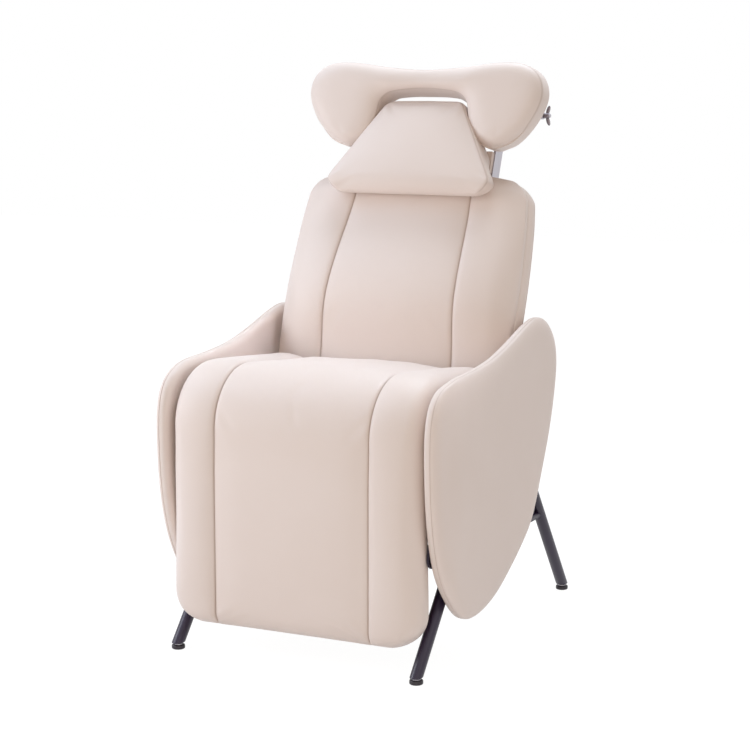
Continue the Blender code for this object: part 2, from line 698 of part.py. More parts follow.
def seat_pad():
    """Seat and knee in one: flat along the deck, then rolled round the knee."""
    rear_under, rear_top = meet_back(0.0), meet_back(PAD_THICKNESS)
    start = math.pi / 2 - SEAT_SLOPE
    rows = [("flat", share) for share in (0.0, 0.03, 0.10, 0.25, 0.45, 0.65, 0.85)]
    rows += [("roll", k / 13) for k in range(14)]

    def place(column, row):
        kind, share = row
        rolled = share if kind == "roll" else 0.0
        angle = mix(start, KNEE_END, rolled)
        outward = Vector((0.0, math.cos(angle), math.sin(angle)))
        under = KNEE + outward * KNEE_CORE_RADIUS
        top = KNEE + outward * (KNEE_CORE_RADIUS + PAD_THICKNESS)
        half_width = PAD_HALF_WIDTH
        height = 1.0
        if kind == "flat":
            under = rear_under.lerp(under, share)
            top = rear_top.lerp(top, share)
            narrowed = max(0.0, (share - SEAT_NARROWING) / (1.0 - SEAT_NARROWING))
            half_width = mix(SEAT_HALF_WIDTH, PAD_HALF_WIDTH, narrowed)
            height = shoulder(share * (rear_top.y - KNEE_Y), PAD_SHOULDER, SEAT_REAR_SHARE)
        x = channel_x(column, SEAT_SEAM_X, half_width)
        height *= shoulder(half_width - abs(x), PAD_SHOULDER, PAD_EDGE_SHARE)
        top = under.lerp(top, height) + outward * channel_rise(column, SEAT_CROWN)
        return under + Vector((x, 0.0, 0.0)), top + Vector((x, 0.0, 0.0))

    padded("seat_pad", CHANNEL_COLUMNS, rows, place)


def hinge_plate(name, sign, hinge, foot_y):
    """A plate standing on the rail, with an eye round a hinge."""
    foot_z = RAIL_TOP + GAP + PLATE_EDGE
    half = HINGE_FOOT_LENGTH / 2 - PLATE_EDGE
    feet = [((foot_y - half, foot_z), PLATE_EDGE), ((foot_y + half, foot_z), PLATE_EDGE)]
    outline = hull([(side(hinge), HINGE_EYE_RADIUS)] + feet)
    low, high = sorted((sign * HINGE_INNER_X, sign * HINGE_OUTER_X))
    flat(name, [outline, circle(side(hinge), SPIGOT_RADIUS + PIN_PLAY)], low, high, SIDE_PLANE, BLACK_STEEL)


def side_panel(name, sign):
    """A petal-shaped padded panel with a rolled-over outer edge."""
    front = smooth_line(PANEL_FRONT_EDGE, PANEL_ROWS)
    rear = smooth_line(PANEL_REAR_EDGE, PANEL_ROWS)
    shares = [0.0, 0.03, 0.12, 0.3, 0.5, 0.7, 0.88, 0.97, 1.0]

    def place(share, row):
        near, far = Vector(front[row]), Vector(rear[row])
        across = near.lerp(far, share)
        width = (far - near).length
        inside = min(share, 1.0 - share) * width
        ends = min(row, PANEL_ROWS - 1 - row) / (PANEL_ROWS - 1) * PANEL_LENGTH
        rise = PANEL_THICKNESS * shoulder(min(inside, ends), PANEL_ROLL, PANEL_RIM / PANEL_THICKNESS)
        under = Vector((sign * PANEL_INNER_X, across.x, across.y))
        return under, under + Vector((sign * rise, 0.0, 0.0))

    padded(name, shares, list(range(PANEL_ROWS)), place)


def panel_bracket(name, sign):
    inner = RAIL_OUTER_X + GAP
    low, high = sorted((sign * inner, sign * (inner + PANEL_BRACKET)))
    box(name, (low, FRONT_BEARER_Y, RAIL_BOTTOM + GAP),
        (high, RAIL_REAR_Y - RAIL_HEIGHT, RAIL_TOP - GAP), BLACK_STEEL)


def drive(cross_y):
    """Motor, gearbox and tube, held on the front cross tube by a saddle."""
    tube_end = ROD_PIN_Y - ROD_TRAVEL - ROD_EYE_RADIUS - DRIVE_TUBE_END_CLEARANCE
    tube_start = tube_end - ROD_TRAVEL - ROD_INSERTION - 2 * GAP
    pipe("drive_tube", (0, tube_start, DRIVE_Z), (0, tube_end, DRIVE_Z), DRIVE_TUBE_RADIUS,
         ROD_RADIUS + PIN_PLAY, BRIGHT_STEEL)
    box_rear = tube_start - GAP
    box_front = box_rear - GEARBOX_LENGTH
    unit = box("drive_unit", (-GEARBOX_HALF_WIDTH, box_front, DRIVE_Z - GEARBOX_DROP),
               (GEARBOX_HALF_WIDTH, box_rear, DRIVE_Z + GEARBOX_RISE), BLACK_PLASTIC)
    middle = (box_front + box_rear) / 2
    motor = rod("motor_can", (0, middle, DRIVE_Z), (0, middle, DRIVE_Z - GEARBOX_DROP - MOTOR_LENGTH),
                MOTOR_RADIUS, group=CUTTERS)
    boolean(unit, motor, "UNION")
    saddle_low = CROSS_TUBE_Z + CROSS_TUBE_DIAMETER / 2 + GAP
    box("drive_saddle", (-SADDLE_HALF_WIDTH, cross_y - SADDLE_LENGTH / 2, saddle_low),
        (SADDLE_HALF_WIDTH, cross_y + SADDLE_LENGTH / 2, DRIVE_Z - DRIVE_TUBE_RADIUS - GAP), BLACK_STEEL)
    face = box_front - GAP
    mouth = face - SOCKET_LENGTH
    socket = rod("power_socket", (0, mouth, DRIVE_Z), (0, face, DRIVE_Z), SOCKET_RADIUS, BLACK_PLASTIC)
    bore = rod("power_socket_bore", (0, mouth - CUT_PAST, DRIVE_Z), (0, face - SOCKET_LENGTH / 4, DRIVE_Z),
               SOCKET_BORE_RADIUS, group=CUTTERS)
    boolean(socket, bore, "DIFFERENCE")
    return tube_end


def base():
    for name, sign in SIDES.items():
        x = sign * HALF_TRACK
        leg("front_leg_" + name, x, FRONT_FOOT_Y, FRONT_LEG_TOP_Y)
        leg("rear_leg_" + name, x, REAR_FOOT_Y, REAR_LEG_TOP_Y)
        glide("front_glide_" + name, x, FRONT_FOOT_Y)
        glide("rear_glide_" + name, x, REAR_FOOT_Y)
        stretcher("stretcher_" + name, x)
        box("top_rail_" + name, (x - RAIL_WIDTH / 2, RAIL_FRONT_Y, RAIL_BOTTOM),
            (x + RAIL_WIDTH / 2, RAIL_REAR_Y, RAIL_TOP), BLACK_STEEL)
        hinge_plate("knee_hinge_plate_" + name, sign, KNEE, RAIL_FRONT_Y + HINGE_FOOT_LENGTH / 2)
        hinge_plate("back_hinge_plate_" + name, sign, BACK, BACK_Y)
        panel_bracket("panel_bracket_" + name, sign)
        side_panel("side_panel_" + name, sign)
    cross_y = cross_tube("front_cross_tube", FRONT_FOOT_Y, FRONT_LEG_TOP_Y)
    cross_tube("rear_cross_tube", REAR_FOOT_Y, REAR_LEG_TOP_Y)
    bearer("front_bearer", FRONT_BEARER_Y)
    bearer("rear_bearer", REAR_BEARER_Y)
    seat_deck()
    knee_former()
    seat_pad()
    return drive(cross_y)


# Leg rest
def shaft_profile(radius, shoulder_x, end_x):
    return [(0.0, end_x), (SPIGOT_RADIUS, end_x), (SPIGOT_RADIUS, shoulder_x), (radius, shoulder_x),
            (radius, -shoulder_x), (SPIGOT_RADIUS, -shoulder_x), (SPIGOT_RADIUS, -end_x), (0.0, -end_x)]


def weld_crank(shaft, name, sign, hub_radius, place, parent):
    """A crank plate and its stud, welded to a shaft through the parent's own origin."""
    low, high = sorted((sign * (CRANK_X - CRANK_PLATE / 2), sign * CRANK_OUTER_X))
    outline = hull([((0.0, 0.0), hub_radius), (side(place), STUD_RADIUS + EYE_MARGIN)])
    plate = flat(name, [outline], low, high, SIDE_PLANE, parent=parent, group=CUTTERS)
    boolean(shaft, plate, "UNION")
    reach = sign * (LINK_OUTER_X + PIN_PROUD)
    stud = rod(name + "_stud", (sign * CRANK_X, place.y, place.z), (reach, place.y, place.z), STUD_RADIUS,
               parent=parent, group=CUTTERS)
    boolean(shaft, stud, "UNION")


def leg_arm(name, sign, axis):
    low, high = sorted((sign * ARM_INNER_X, sign * ARM_OUTER_X))
    foot = (ARM_FOOT_Y - KNEE_Y, ARM_FOOT_Z - KNEE_Z)
    outline = hull([((0.0, 0.0), HINGE_EYE_RADIUS), (foot, ARM_HALF_WIDTH)])
    flat(name, [outline, circle((0.0, 0.0), SPIGOT_RADIUS + GAP)], low, high, SIDE_PLANE, BLACK_STEEL, axis)


def leg_pad(axis):
    """A slab with rounded lower corners, its top cut clear of the padded roll."""
    thickness = LEG_PAD_REAR_Y - LEG_PAD_FRONT_Y
    clear = KNEE_CORE_RADIUS + PAD_THICKNESS + SEAT_CROWN + LEG_PAD_ROLL_CLEARANCE
    slant = math.asin((KNEE_Y - (LEG_PAD_FRONT_Y + LEG_PAD_REAR_Y) / 2) / clear)
    rows = [0.0, 0.02, 0.06, 0.13, 0.22, 0.36, 0.52, 0.68, 0.84, 0.95, 1.0]

    def top_z(y):
        """Height of the slanted top face, which just clears the roll."""
        return KNEE_Z - (clear + (y - KNEE_Y) * math.sin(slant)) / math.cos(slant)

    def place(column, row):
        drawn = LEG_PAD_SIDE_DRAW * math.sin(math.pi * row)
        under_z = mix(LEG_PAD_BOTTOM, top_z(LEG_PAD_REAR_Y), row)
        front_z = mix(LEG_PAD_BOTTOM, top_z(LEG_PAD_FRONT_Y), row)
        above = front_z - LEG_PAD_BOTTOM
        half_width = PAD_HALF_WIDTH - corner_loss(above, LEG_PAD_CORNER) - drawn
        seam = min(SEAT_SEAM_X, half_width - SEAM_EDGE_ROOM)
        x = channel_x(column, seam, half_width)
        rise = thickness * shoulder(above, PAD_SHOULDER, PAD_EDGE_SHARE)
        rise *= shoulder(half_width - abs(x), PAD_SHOULDER, PAD_EDGE_SHARE)
        rise += channel_rise(column, SEAT_CROWN)
        under = Vector((x, LEG_PAD_REAR_Y, under_z)) - KNEE
        top = Vector((x, LEG_PAD_REAR_Y - rise, mix(under_z, front_z, rise / thickness))) - KNEE
        return under, top

    padded("leg_pad", CHANNEL_COLUMNS, rows, place, axis)
    return top_z(LEG_PAD_REAR_Y)


def leg_rest():
    axis = pivot("knee_axis", KNEE)
    profile = shaft_profile(KNEE_SHAFT_RADIUS, HINGE_INNER_X - GAP, ARM_OUTER_X + PIN_PROUD)
    shaft = turned("knee_shaft", profile, BLACK_STEEL, axis, along_x=True)
    stud = down_from(Vector(), LEG_CRANK_RADIUS, LEG_CRANK_REST)
    for name, sign in SIDES.items():
        weld_crank(shaft, "leg_crank_" + name, sign, KNEE_HUB_RADIUS, stud, axis)
        leg_arm("leg_arm_" + name, sign, axis)
    pad_top = leg_pad(axis)
    board_front = LEG_PAD_REAR_Y + GAP - KNEE_Y
    board_rear = board_front + LEG_BOARD_THICKNESS
    box("leg_board", (-LEG_BOARD_HALF_WIDTH, board_front, LEG_BOARD_BOTTOM - KNEE_Z),
        (LEG_BOARD_HALF_WIDTH, board_rear, pad_top - LEG_BOARD_TOP_MARGIN - KNEE_Z), PLYWOOD, axis)
    bar_front = board_rear + GAP
    reach = ARM_INNER_X - GAP
    box("leg_crossbar", (-reach, bar_front, ARM_FOOT_Z - CROSSBAR_HEIGHT / 2 - KNEE_Z),
        (reach, bar_front + CROSSBAR_THICKNESS, ARM_FOOT_Z + CROSSBAR_HEIGHT / 2 - KNEE_Z), BLACK_STEEL, axis)
    return axis


# Linkage
def drag_link(name, sign, leg_axis):
    """A flat bar from the leg crank's stud to a slot round the back crank's stud."""
    front = down_from(KNEE, LEG_CRANK_RADIUS, LEG_CRANK_REST)
    rear = down_from(BACK, BACK_CRANK_RADIUS, BACK_CRANK_REST)
    axis = pivot(name + "_axis", front, parent=leg_axis)
    reach = side(rear - front)
    slot_radius = STUD_RADIUS + LINK_SLOT_SLACK
    upper = (reach[0], reach[1] + LINK_SLOT_RISE)
    slot = hull([(reach, slot_radius), (upper, slot_radius)])
    eye = slot_radius + EYE_MARGIN
    outline = hull([((0.0, 0.0), LINK_HALF_WIDTH), (reach, eye), (upper, eye)])
    low, high = sorted((sign * LINK_INNER_X, sign * LINK_OUTER_X))
    hole = circle((0.0, 0.0), STUD_RADIUS + PIN_PLAY)
    flat(name, [outline, hole, slot], low, high, SIDE_PLANE, BLACK_STEEL, axis)


def drive_rod(tube_end):
    """The sliding rod, its eye and the cross pin that works the fork on the back."""
    axis = pivot("drive_rod_axis", (0.0, ROD_PIN_Y, DRIVE_Z))
    inner = tube_end - ROD_INSERTION - ROD_PIN_Y
    piece = rod("drive_rod", (0, inner, 0), (0, 0, 0), ROD_RADIUS, BRIGHT_STEEL, axis)
    eye = rod("drive_rod_eye", (-ROD_EYE_HALF_WIDTH, 0, 0), (ROD_EYE_HALF_WIDTH, 0, 0), ROD_EYE_RADIUS,
              parent=axis, group=CUTTERS)
    reach = ROD_EYE_HALF_WIDTH + FORK_GAP + FORK_PLATE + PIN_PROUD
    pin = rod("drive_rod_pin", (-reach, 0, 0), (reach, 0, 0), STUD_RADIUS, parent=axis, group=CUTTERS)
    boolean(piece, eye, "UNION")
    boolean(piece, pin, "UNION")


# Back, modelled upright: Y is behind its middle plane and Z is up from its hinge
def back_half_width(up):
    corners = corner_loss(BACK_TOP - up, BACK_CORNER) + corner_loss(up - BACK_PAD_BOTTOM, BACK_LOW_CORNER)
    return BACK_HALF_WIDTH - BACK_TAPER * (up - BACK_WIDEST) ** 2 - corners


def back_outline(bottom, margin):
    straight = BACK_TOP - BACK_CORNER
    ups = [mix(bottom, straight, k / BACK_SIDE_STEPS) for k in range(BACK_SIDE_STEPS + 1)]
    turns = [math.pi / 2 * k / 8 for k in range(1, 9)]
    ups += [straight + BACK_CORNER * math.sin(a) for a in turns]
    half = [(back_half_width(up) - margin, up - margin * (up > straight)) for up in ups]
    return half + [(-x, up) for x, up in half[::-1]]


def lumbar_swell(up):
    """Extra thickness at a height: a smooth hump, longer above than below."""
    reach = LUMBAR_REACH_ABOVE if up > LUMBAR_UP else LUMBAR_REACH_BELOW
    share = min(1.0, abs(up - LUMBAR_UP) / reach)
    return LUMBAR_SWELL * math.cos(math.pi / 2 * share) ** 2


def back_pad(axis):
    rows = [0.0, 0.02, 0.06, 0.12, 0.22, 0.34, 0.46, 0.58, 0.70, 0.80, 0.87, 0.92, 0.955, 0.98, 1.0]

    def place(column, row):
        up = mix(BACK_PAD_BOTTOM, BACK_TOP, row)
        half_width = back_half_width(min(up, BACK_TOP - BACK_TOP_FLAT))
        seam = mix(BACK_SEAM_LOW_X, BACK_SEAM_HIGH_X, row ** BACK_SEAM_BOW)
        x = channel_x(column, min(seam, half_width - SEAM_EDGE_ROOM), half_width)
        height = shoulder(half_width - abs(x), BACK_SIDE_SHOULDER, BACK_EDGE_SHARE)
        height *= shoulder(up - BACK_PAD_BOTTOM, BACK_LOW_SHOULDER, PAD_EDGE_SHARE)
        height *= shoulder(BACK_TOP - up, BACK_TOP_SHOULDER, BACK_EDGE_SHARE)
        middle = math.sin(math.pi * row) ** 0.5
        full = BACK_PAD_THICKNESS + lumbar_swell(up)
        rise = full * height + channel_rise(column, BACK_CROWN * middle)
        return Vector((x, BACK_PAD_REAR, up)), Vector((x, BACK_PAD_REAR - rise, up))

    padded("back_pad", CHANNEL_COLUMNS, rows, place, axis)


def back_shell(axis):
    """The rear cover: a tray open to the front and below, slotted on top for the posts."""
    front = -BACK_BOARD_THICKNESS
    outer, inner = back_outline(SHELL_BOTTOM, 0.0), back_outline(SHELL_BOTTOM - CUT_PAST, SHELL_WALL)
    shell = flat("back_shell", [outer], -SHELL_REAR, -front, FRONT_PLANE, LEATHER, axis)
    room = flat("back_shell_room", [inner], -SHELL_REAR + SHELL_WALL, -front + CUT_PAST, FRONT_PLANE,
                parent=axis, group=CUTTERS)
    boolean(shell, room, "DIFFERENCE")
    for name, sign in SIDES.items():
        x = sign * POST_X
        half = POST_THICKNESS / 2 + GAP
        slot = box("post_slot_" + name, (x - half, POST_FRONT - GAP, BACK_TOP - BACK_CORNER / 2),
                   (x + half, POST_REAR + GAP, BACK_TOP + CUT_PAST), parent=axis, group=CUTTERS)
        boolean(shell, slot, "DIFFERENCE")


def upright(name, sign, axis):
    """A rectangular tube standing on the crank tube, in which a headrest post slides."""
    x = sign * POST_X
    half = POST_THICKNESS / 2 + GAP
    outer = half + UPRIGHT_WALL
    low, high = BACK_TUBE_RADIUS + GAP, BACK_TOP - SHELL_WALL - GAP
    piece = box(name, (x - outer, UPRIGHT_FRONT, low), (x + outer, UPRIGHT_REAR, high), BRIGHT_STEEL, axis)
    bore = box(name + "_bore", (x - half, POST_FRONT - GAP, low - CUT_PAST),
               (x + half, POST_REAR + GAP, high + CUT_PAST), parent=axis, group=CUTTERS)
    boolean(piece, bore, "DIFFERENCE")


def drive_fork(name, sign, level):
    """A plate with a slot, along which the drive rod's pin shifts as the back turns."""
    slot_radius = STUD_RADIUS + FORK_SLOT_SLACK
    eye = slot_radius + EYE_MARGIN
    near = side(down_from(Vector(), DRIVE_DROP - GAP, BACK_CRANK_REST))
    far = side(down_from(Vector(), DRIVE_DROP / math.cos(BACK_CRANK_REST) + GAP, BACK_CRANK_REST))
    inner = ROD_EYE_HALF_WIDTH + FORK_GAP
    low, high = sorted((sign * inner, sign * (inner + FORK_PLATE)))
    outline = hull([((0.0, 0.0), BACK_HUB_RADIUS), (near, eye), (far, eye)])
    slot = hull([(near, slot_radius), (far, slot_radius)])
    return flat(name, [outline, slot], low, high, SIDE_PLANE, parent=level, group=CUTTERS)


def crank_tube(axis, level):
    """The hinge tube with its welded cranks: two for the drag links, and a slotted fork for the drive."""
    profile = shaft_profile(BACK_TUBE_RADIUS, HINGE_INNER_X - GAP, HINGE_OUTER_X + PIN_PROUD)
    tube = turned("crank_tube", profile, BLACK_STEEL, axis, along_x=True)
    stud = down_from(Vector(), BACK_CRANK_RADIUS, BACK_CRANK_REST)
    for name, sign in SIDES.items():
        weld_crank(tube, "back_crank_" + name, sign, BACK_HUB_RADIUS, stud, level)
        boolean(tube, drive_fork("drive_fork_" + name, sign, level), "UNION")


def back():
    axis = pivot("back_axis", BACK, BACK_LEAN)
    level = pivot("back_axis_level", BACK)
    crank_tube(axis, level)
    board = back_outline(BACK_BOARD_BOTTOM, BACK_BOARD_MARGIN)
    flat("back_board", [board], 0.0, BACK_BOARD_THICKNESS, FRONT_PLANE, PLYWOOD, axis)
    back_pad(axis)
    back_shell(axis)
    for name, sign in SIDES.items():
        upright("back_upright_" + name, sign, axis)
    return axis


# Headrest carrier, in the back's own frame
def pillow_rear(up):
    """The pillow's back: in front of the back pad below, against its own board above."""
    low = BACK_PAD_FRONT - BACK_CROWN - PILLOW_BACK_CLEARANCE
    high = POST_FRONT - 2 * GAP - PILLOW_BOARD_THICKNESS
    share = min(1.0, max(0.0, (up - BACK_TOP + PILLOW_STEP_BELOW_TOP) / PILLOW_STEP))
    return mix(low, high, share * share * (3 - 2 * share))


def neck_pillow(carrier):
    rows = [0.0, 0.03, 0.08, 0.16, 0.28, 0.42, 0.56, 0.70, 0.82, 0.91, 0.97, 1.0]
    columns = [0.0, 0.35, 0.65, 0.86, 0.96, 1.0]
    columns = [-c for c in columns[:0:-1]] + columns

    def place(column, row):
        up = mix(PILLOW_BOTTOM, PILLOW_TOP, row)
        narrowed = max(0.0, row - PILLOW_WIDEST) / (1.0 - PILLOW_WIDEST)
        half_width = mix(PILLOW_LOW_HALF_WIDTH, PILLOW_TOP_HALF_WIDTH, narrowed)
        half_width -= corner_loss(up - PILLOW_BOTTOM, PILLOW_LOW_CORNER)
        x = column * half_width
        rear = pillow_rear(up)
        full = rear - mix(PILLOW_LOW_FRONT, PILLOW_TOP_FRONT, row)
        height = shoulder(half_width - abs(x), PILLOW_SHOULDER, PILLOW_EDGE_SHARE)
        height *= shoulder(up - PILLOW_BOTTOM, PILLOW_SHOULDER, PILLOW_LOW_SHARE)
        height *= shoulder(PILLOW_TOP - up, PILLOW_TOP_SHOULDER, PILLOW_EDGE_SHARE)
        return Vector((x, rear, up)), Vector((x, rear - full * height, up))

    padded("neck_pillow", columns, rows, place, carrier)


def headrest_carrier(back_axis):
    carrier = pivot("post_slide", BACK, BACK_LEAN, back_axis)
    axle_at = (HEAD_AXIS_REAR, HEAD_AXIS_UP)
    for name, sign in SIDES.items():
        x = sign * POST_X
        outline = [(POST_FRONT, POST_BOTTOM), (POST_REAR, POST_BOTTOM), (POST_REAR, POST_TOP),
                   (POST_FRONT, POST_TOP)]
        half = POST_THICKNESS / 2
        flat("post_" + name, [outline, circle(axle_at, AXLE_RADIUS + GAP)], x - half, x + half, SIDE_PLANE,
             BRIGHT_STEEL, carrier)
        start, end = sign * (BRACKET_OUTER_X + GAP), sign * (WING_X - GAP)
        pipe("clamp_sleeve_" + name, (start, *axle_at), (end, *axle_at), CLAMP_SLEEVE_RADIUS,
             AXLE_RADIUS + GAP, BRIGHT_STEEL, carrier)
    reach = WING_X + WING_HUB_LENGTH + PIN_PROUD
    rod("tilt_axle", (-reach, *axle_at), (reach, *axle_at), AXLE_RADIUS, BRIGHT_STEEL, carrier)
    rear = POST_FRONT - GAP
    stem = PILLOW_BOARD_STEM_HALF_WIDTH
    half = [(POST_X, PILLOW_BOARD_BOTTOM), (POST_X, PILLOW_BOARD_SHOULDER), (stem, PILLOW_BOARD_SHOULDER),
            (stem, PILLOW_BOARD_TOP)]
    outline = half + [(-x, up) for x, up in half[::-1]]
    flat("pillow_board", [outline], -rear, -rear + PILLOW_BOARD_THICKNESS, FRONT_PLANE, LEATHER, carrier)
    neck_pillow(carrier)
    return carrier


# Headrest, upright: Y is behind the axle and Z is up from it
def arch(points):
    half = smooth_line(points, HEAD_ROWS)
    return half + [(-x, up) for x, up in half[-2::-1]]


def head_pad(axis):
    outer, inner = arch(HEAD_OUTER_EDGE), arch(HEAD_INNER_EDGE)
    columns = [0.0, 0.04, 0.14, 0.3, 0.5, 0.7, 0.86, 0.96, 1.0]

    def place(share, row):
        near, far = Vector(inner[row]), Vector(outer[row])
        across = near.lerp(far, share)
        inside = min(share, 1.0 - share) * (far - near).length
        ends = min(row, len(outer) - 1 - row) * HEAD_ROW_PITCH
        swell = shoulder(min(inside, ends), HEAD_SHOULDER, 0.0)
        under = Vector((across.x, -HEAD_PAD_REAR, across.y))
        return under, under - Vector((0.0, HEAD_PAD_RIM + HEAD_PAD_CROWN * swell, 0.0))

    padded("head_pad", columns, list(range(len(outer))), place, axis)


def head_board(axis):
    """The arch again, drawn in all round by a margin."""
    outer, inner = arch(HEAD_OUTER_EDGE), arch(HEAD_INNER_EDGE)
    outline = []
    for edge, other in ((outer, inner), (inner[::-1], outer[::-1])):
        for near, far in list(zip(edge, other))[2:-2]:
            step = (Vector(far) - Vector(near)).normalized() * HEAD_BOARD_MARGIN
            outline.append((near[0] + step.x, near[1] + step.y))
    flat("head_board", [outline], HEAD_REAR, HEAD_REAR + HEAD_BOARD_THICKNESS, FRONT_PLANE, LEATHER, axis)


def head_bracket(name, sign, axis):
    """A plate from the axle to the head board, with a tail that stops on the post."""
    face = -HEAD_REAR + GAP + PLATE_EDGE
    corners = [(face, HEAD_BRACKET_LOW), (face, HEAD_BRACKET_HIGH),
               (HEAD_BRACKET_TAIL_Y, -HEAD_BRACKET_DROP + PLATE_EDGE)]
    outline = hull([((0.0, 0.0), HEAD_BRACKET_EYE)] + [(corner, PLATE_EDGE) for corner in corners])
    low, high = sorted((sign * BRACKET_INNER_X, sign * BRACKET_OUTER_X))
    hole = circle((0.0, 0.0), AXLE_RADIUS + PIN_PLAY)
    flat(name, [outline, hole], low, high, SIDE_PLANE, BRIGHT_STEEL, axis)


def wing_nut(name, sign, carrier):
    """A hub with two flared wings, on the end of the axle."""
    axis = pivot(name + "_axis", HEAD_AXIS + Vector((sign * WING_X, 0.0, 0.0)), parent=carrier)
    hub = rod(name, (0, 0, 0), (sign * WING_HUB_LENGTH, 0, 0), WING_HUB_RADIUS, BRIGHT_STEEL, axis)
    for end in (1, -1):
        root = (sign * WING_HUB_LENGTH / 2, end * WING_HUB_RADIUS / 2)
        tip = (sign * WING_HUB_LENGTH, end * (WING_SPAN / 2 - WING_TIP_RADIUS))
        outline = hull([(root, WING_ROOT_RADIUS), (tip, WING_TIP_RADIUS)])
        wing = flat(f"{name}_wing_{end}", [outline], -WING_THICKNESS / 2, WING_THICKNESS / 2, FRONT_PLANE,
                    parent=axis, group=CUTTERS)
        boolean(hub, wing, "UNION")
    bore = rod(name + "_bore", (-sign * CUT_PAST, 0, 0), (sign * (WING_HUB_LENGTH + CUT_PAST), 0, 0),
               AXLE_RADIUS + GAP, parent=axis, group=CUTTERS)
    boolean(hub, bore, "DIFFERENCE")


def headrest(carrier):
    axis = pivot("headrest_axis", HEAD_AXIS, HEAD_LEAN, carrier)
    head_pad(axis)
    head_board(axis)
    for name, sign in SIDES.items():
        head_bracket("head_bracket_" + name, sign, axis)
        wing_nut("wing_nut_" + name, sign, carrier)


drive_tube_end = base()
leg_axis = leg_rest()
for side_name, side_sign in SIDES.items():
    drag_link("drag_link_" + side_name, side_sign, leg_axis)
drive_rod(drive_tube_end)
back_axis = back()
headrest(headrest_carrier(back_axis))
bpy.context.view_layer.update()
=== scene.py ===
# %% [markdown]
# # A reclining lash chair
# The chair is a steel frame with soft, pale pads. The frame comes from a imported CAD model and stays
# as it is. Every soft piece, and every round bar that shows, is drawn here again as a smooth surface,
# because a pad is only believable when its crown, its seams and its rounded edges are real shape.

import json
import math

import bmesh
import bpy
import numpy as np
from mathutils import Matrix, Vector


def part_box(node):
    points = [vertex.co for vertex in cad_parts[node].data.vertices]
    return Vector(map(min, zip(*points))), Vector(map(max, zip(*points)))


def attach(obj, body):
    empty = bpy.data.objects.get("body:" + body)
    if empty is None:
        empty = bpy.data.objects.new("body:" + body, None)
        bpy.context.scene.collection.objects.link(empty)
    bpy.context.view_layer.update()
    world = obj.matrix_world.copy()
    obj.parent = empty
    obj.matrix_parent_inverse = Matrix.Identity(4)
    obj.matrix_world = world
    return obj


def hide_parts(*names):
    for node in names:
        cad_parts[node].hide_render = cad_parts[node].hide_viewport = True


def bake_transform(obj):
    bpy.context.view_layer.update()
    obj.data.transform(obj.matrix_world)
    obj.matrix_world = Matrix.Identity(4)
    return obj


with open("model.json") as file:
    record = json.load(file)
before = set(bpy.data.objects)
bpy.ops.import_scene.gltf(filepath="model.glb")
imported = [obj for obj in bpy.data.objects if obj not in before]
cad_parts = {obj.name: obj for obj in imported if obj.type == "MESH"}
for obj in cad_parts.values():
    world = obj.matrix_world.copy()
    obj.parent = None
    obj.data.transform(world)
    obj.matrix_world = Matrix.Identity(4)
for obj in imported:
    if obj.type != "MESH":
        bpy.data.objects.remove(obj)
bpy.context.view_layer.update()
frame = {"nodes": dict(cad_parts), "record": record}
scene = bpy.context.scene
SIDES = (("left", 1), ("right", -1))

# %% [markdown]
# ## Colours
# Colours are written as sRGB hex, the way a picker shows them. Shaders work in linear light, so one
# function undoes the sRGB curve: below 0.04045 it is a straight line, above it a power of 2.4. Shaders
# are graphs of nodes, and one more function adds a node with its settings and its links.


# %% Colour and node helpers
def linear(hex_colour):
    """Each hex pair, as a share of 255, goes through the sRGB curve to linear light."""
    shares = [int(hex_colour[k:k + 2], 16) / 255 for k in (1, 3, 5)]
    return (*[s / 12.92 if s <= 0.04045 else ((s + 0.055) / 1.055) ** 2.4 for s in shares], 1.0)


def add_node(tree, kind, links=(), **settings):
    """Adds one shader node. A setting named like a socket fills that socket, any other is a property.
    Each link is (from node, its output, to node, its input), with None for the new node."""
    made = tree.nodes.new("ShaderNode" + kind)
    for name, value in settings.items():
        socket = name.replace("_", " ")
        if socket in made.inputs:
            made.inputs[socket].default_value = value
        else:
            setattr(made, name, value)
    for source, output, target, socket in links:
        tree.links.new((source or made).outputs[output], (target or made).inputs[socket])
    return made


def new_material(name, **shader_values):
    """A material with one Principled shader, whose uniform values are set on its own sockets."""
    material = bpy.data.materials.new(name)
    material.use_nodes = True
    shader = material.node_tree.nodes["Principled BSDF"]
    for socket, value in shader_values.items():
        shader.inputs[socket.replace("_", " ")].default_value = value
    return material, material.node_tree, shader


# The seam colour is painted shade, the shadow held in grooves and creases, with a little dirt.
BLUSH_PALE, BLUSH_DEEP, SEAM_SHADOW_AND_DIRT = "#e8dad3", "#e1d1c8", "#bca89d"
print("pale blush in linear light", linear(BLUSH_PALE))

# %% [markdown]
# ## Parts of a finish
# A picture wrapped round a piece goes soft close by. Noise over the piece's own coordinates doesn't, so
# every finish here is a noise, a colour and a gloss that drift with it, and a shallow bump. Coordinates
# are in metres: a scale of 1000 / 3 gives lumps of 3 mm.


# %% Parts of a finish
def noise(tree, scale, detail, **more):
    """Noise over the piece's own coordinates. A scale of three numbers stretches it along the axes."""
    source = (add_node(tree, "TexCoord"), "Object")
    if isinstance(scale, tuple):
        source = (add_node(tree, "Mapping", [(*source, None, "Vector")], Scale=scale), "Vector")
        scale = 1.0
    return add_node(tree, "TexNoise", [(*source, None, "Vector")], Scale=scale, Detail=detail, **more)


def drifting_colour(tree, factor, low, high, target, socket):
    """A colour that runs from low to high with the factor, sent on to a socket of the target."""
    mix = add_node(tree, "Mix", [(factor, "Fac", None, 0), (None, 2, target, socket)], data_type="RGBA")
    mix.inputs[6].default_value, mix.inputs[7].default_value = linear(low), linear(high)
    return mix


def drifting_gloss(tree, factor, low, high, shader):
    """Roughness that runs from low to high with the factor."""
    add_node(tree, "MapRange", [(factor, "Fac", None, "Value"), (None, "Result", shader, "Roughness")],
             To_Min=low, To_Max=high)


print("leather tones", BLUSH_PALE, "to", BLUSH_DEEP)
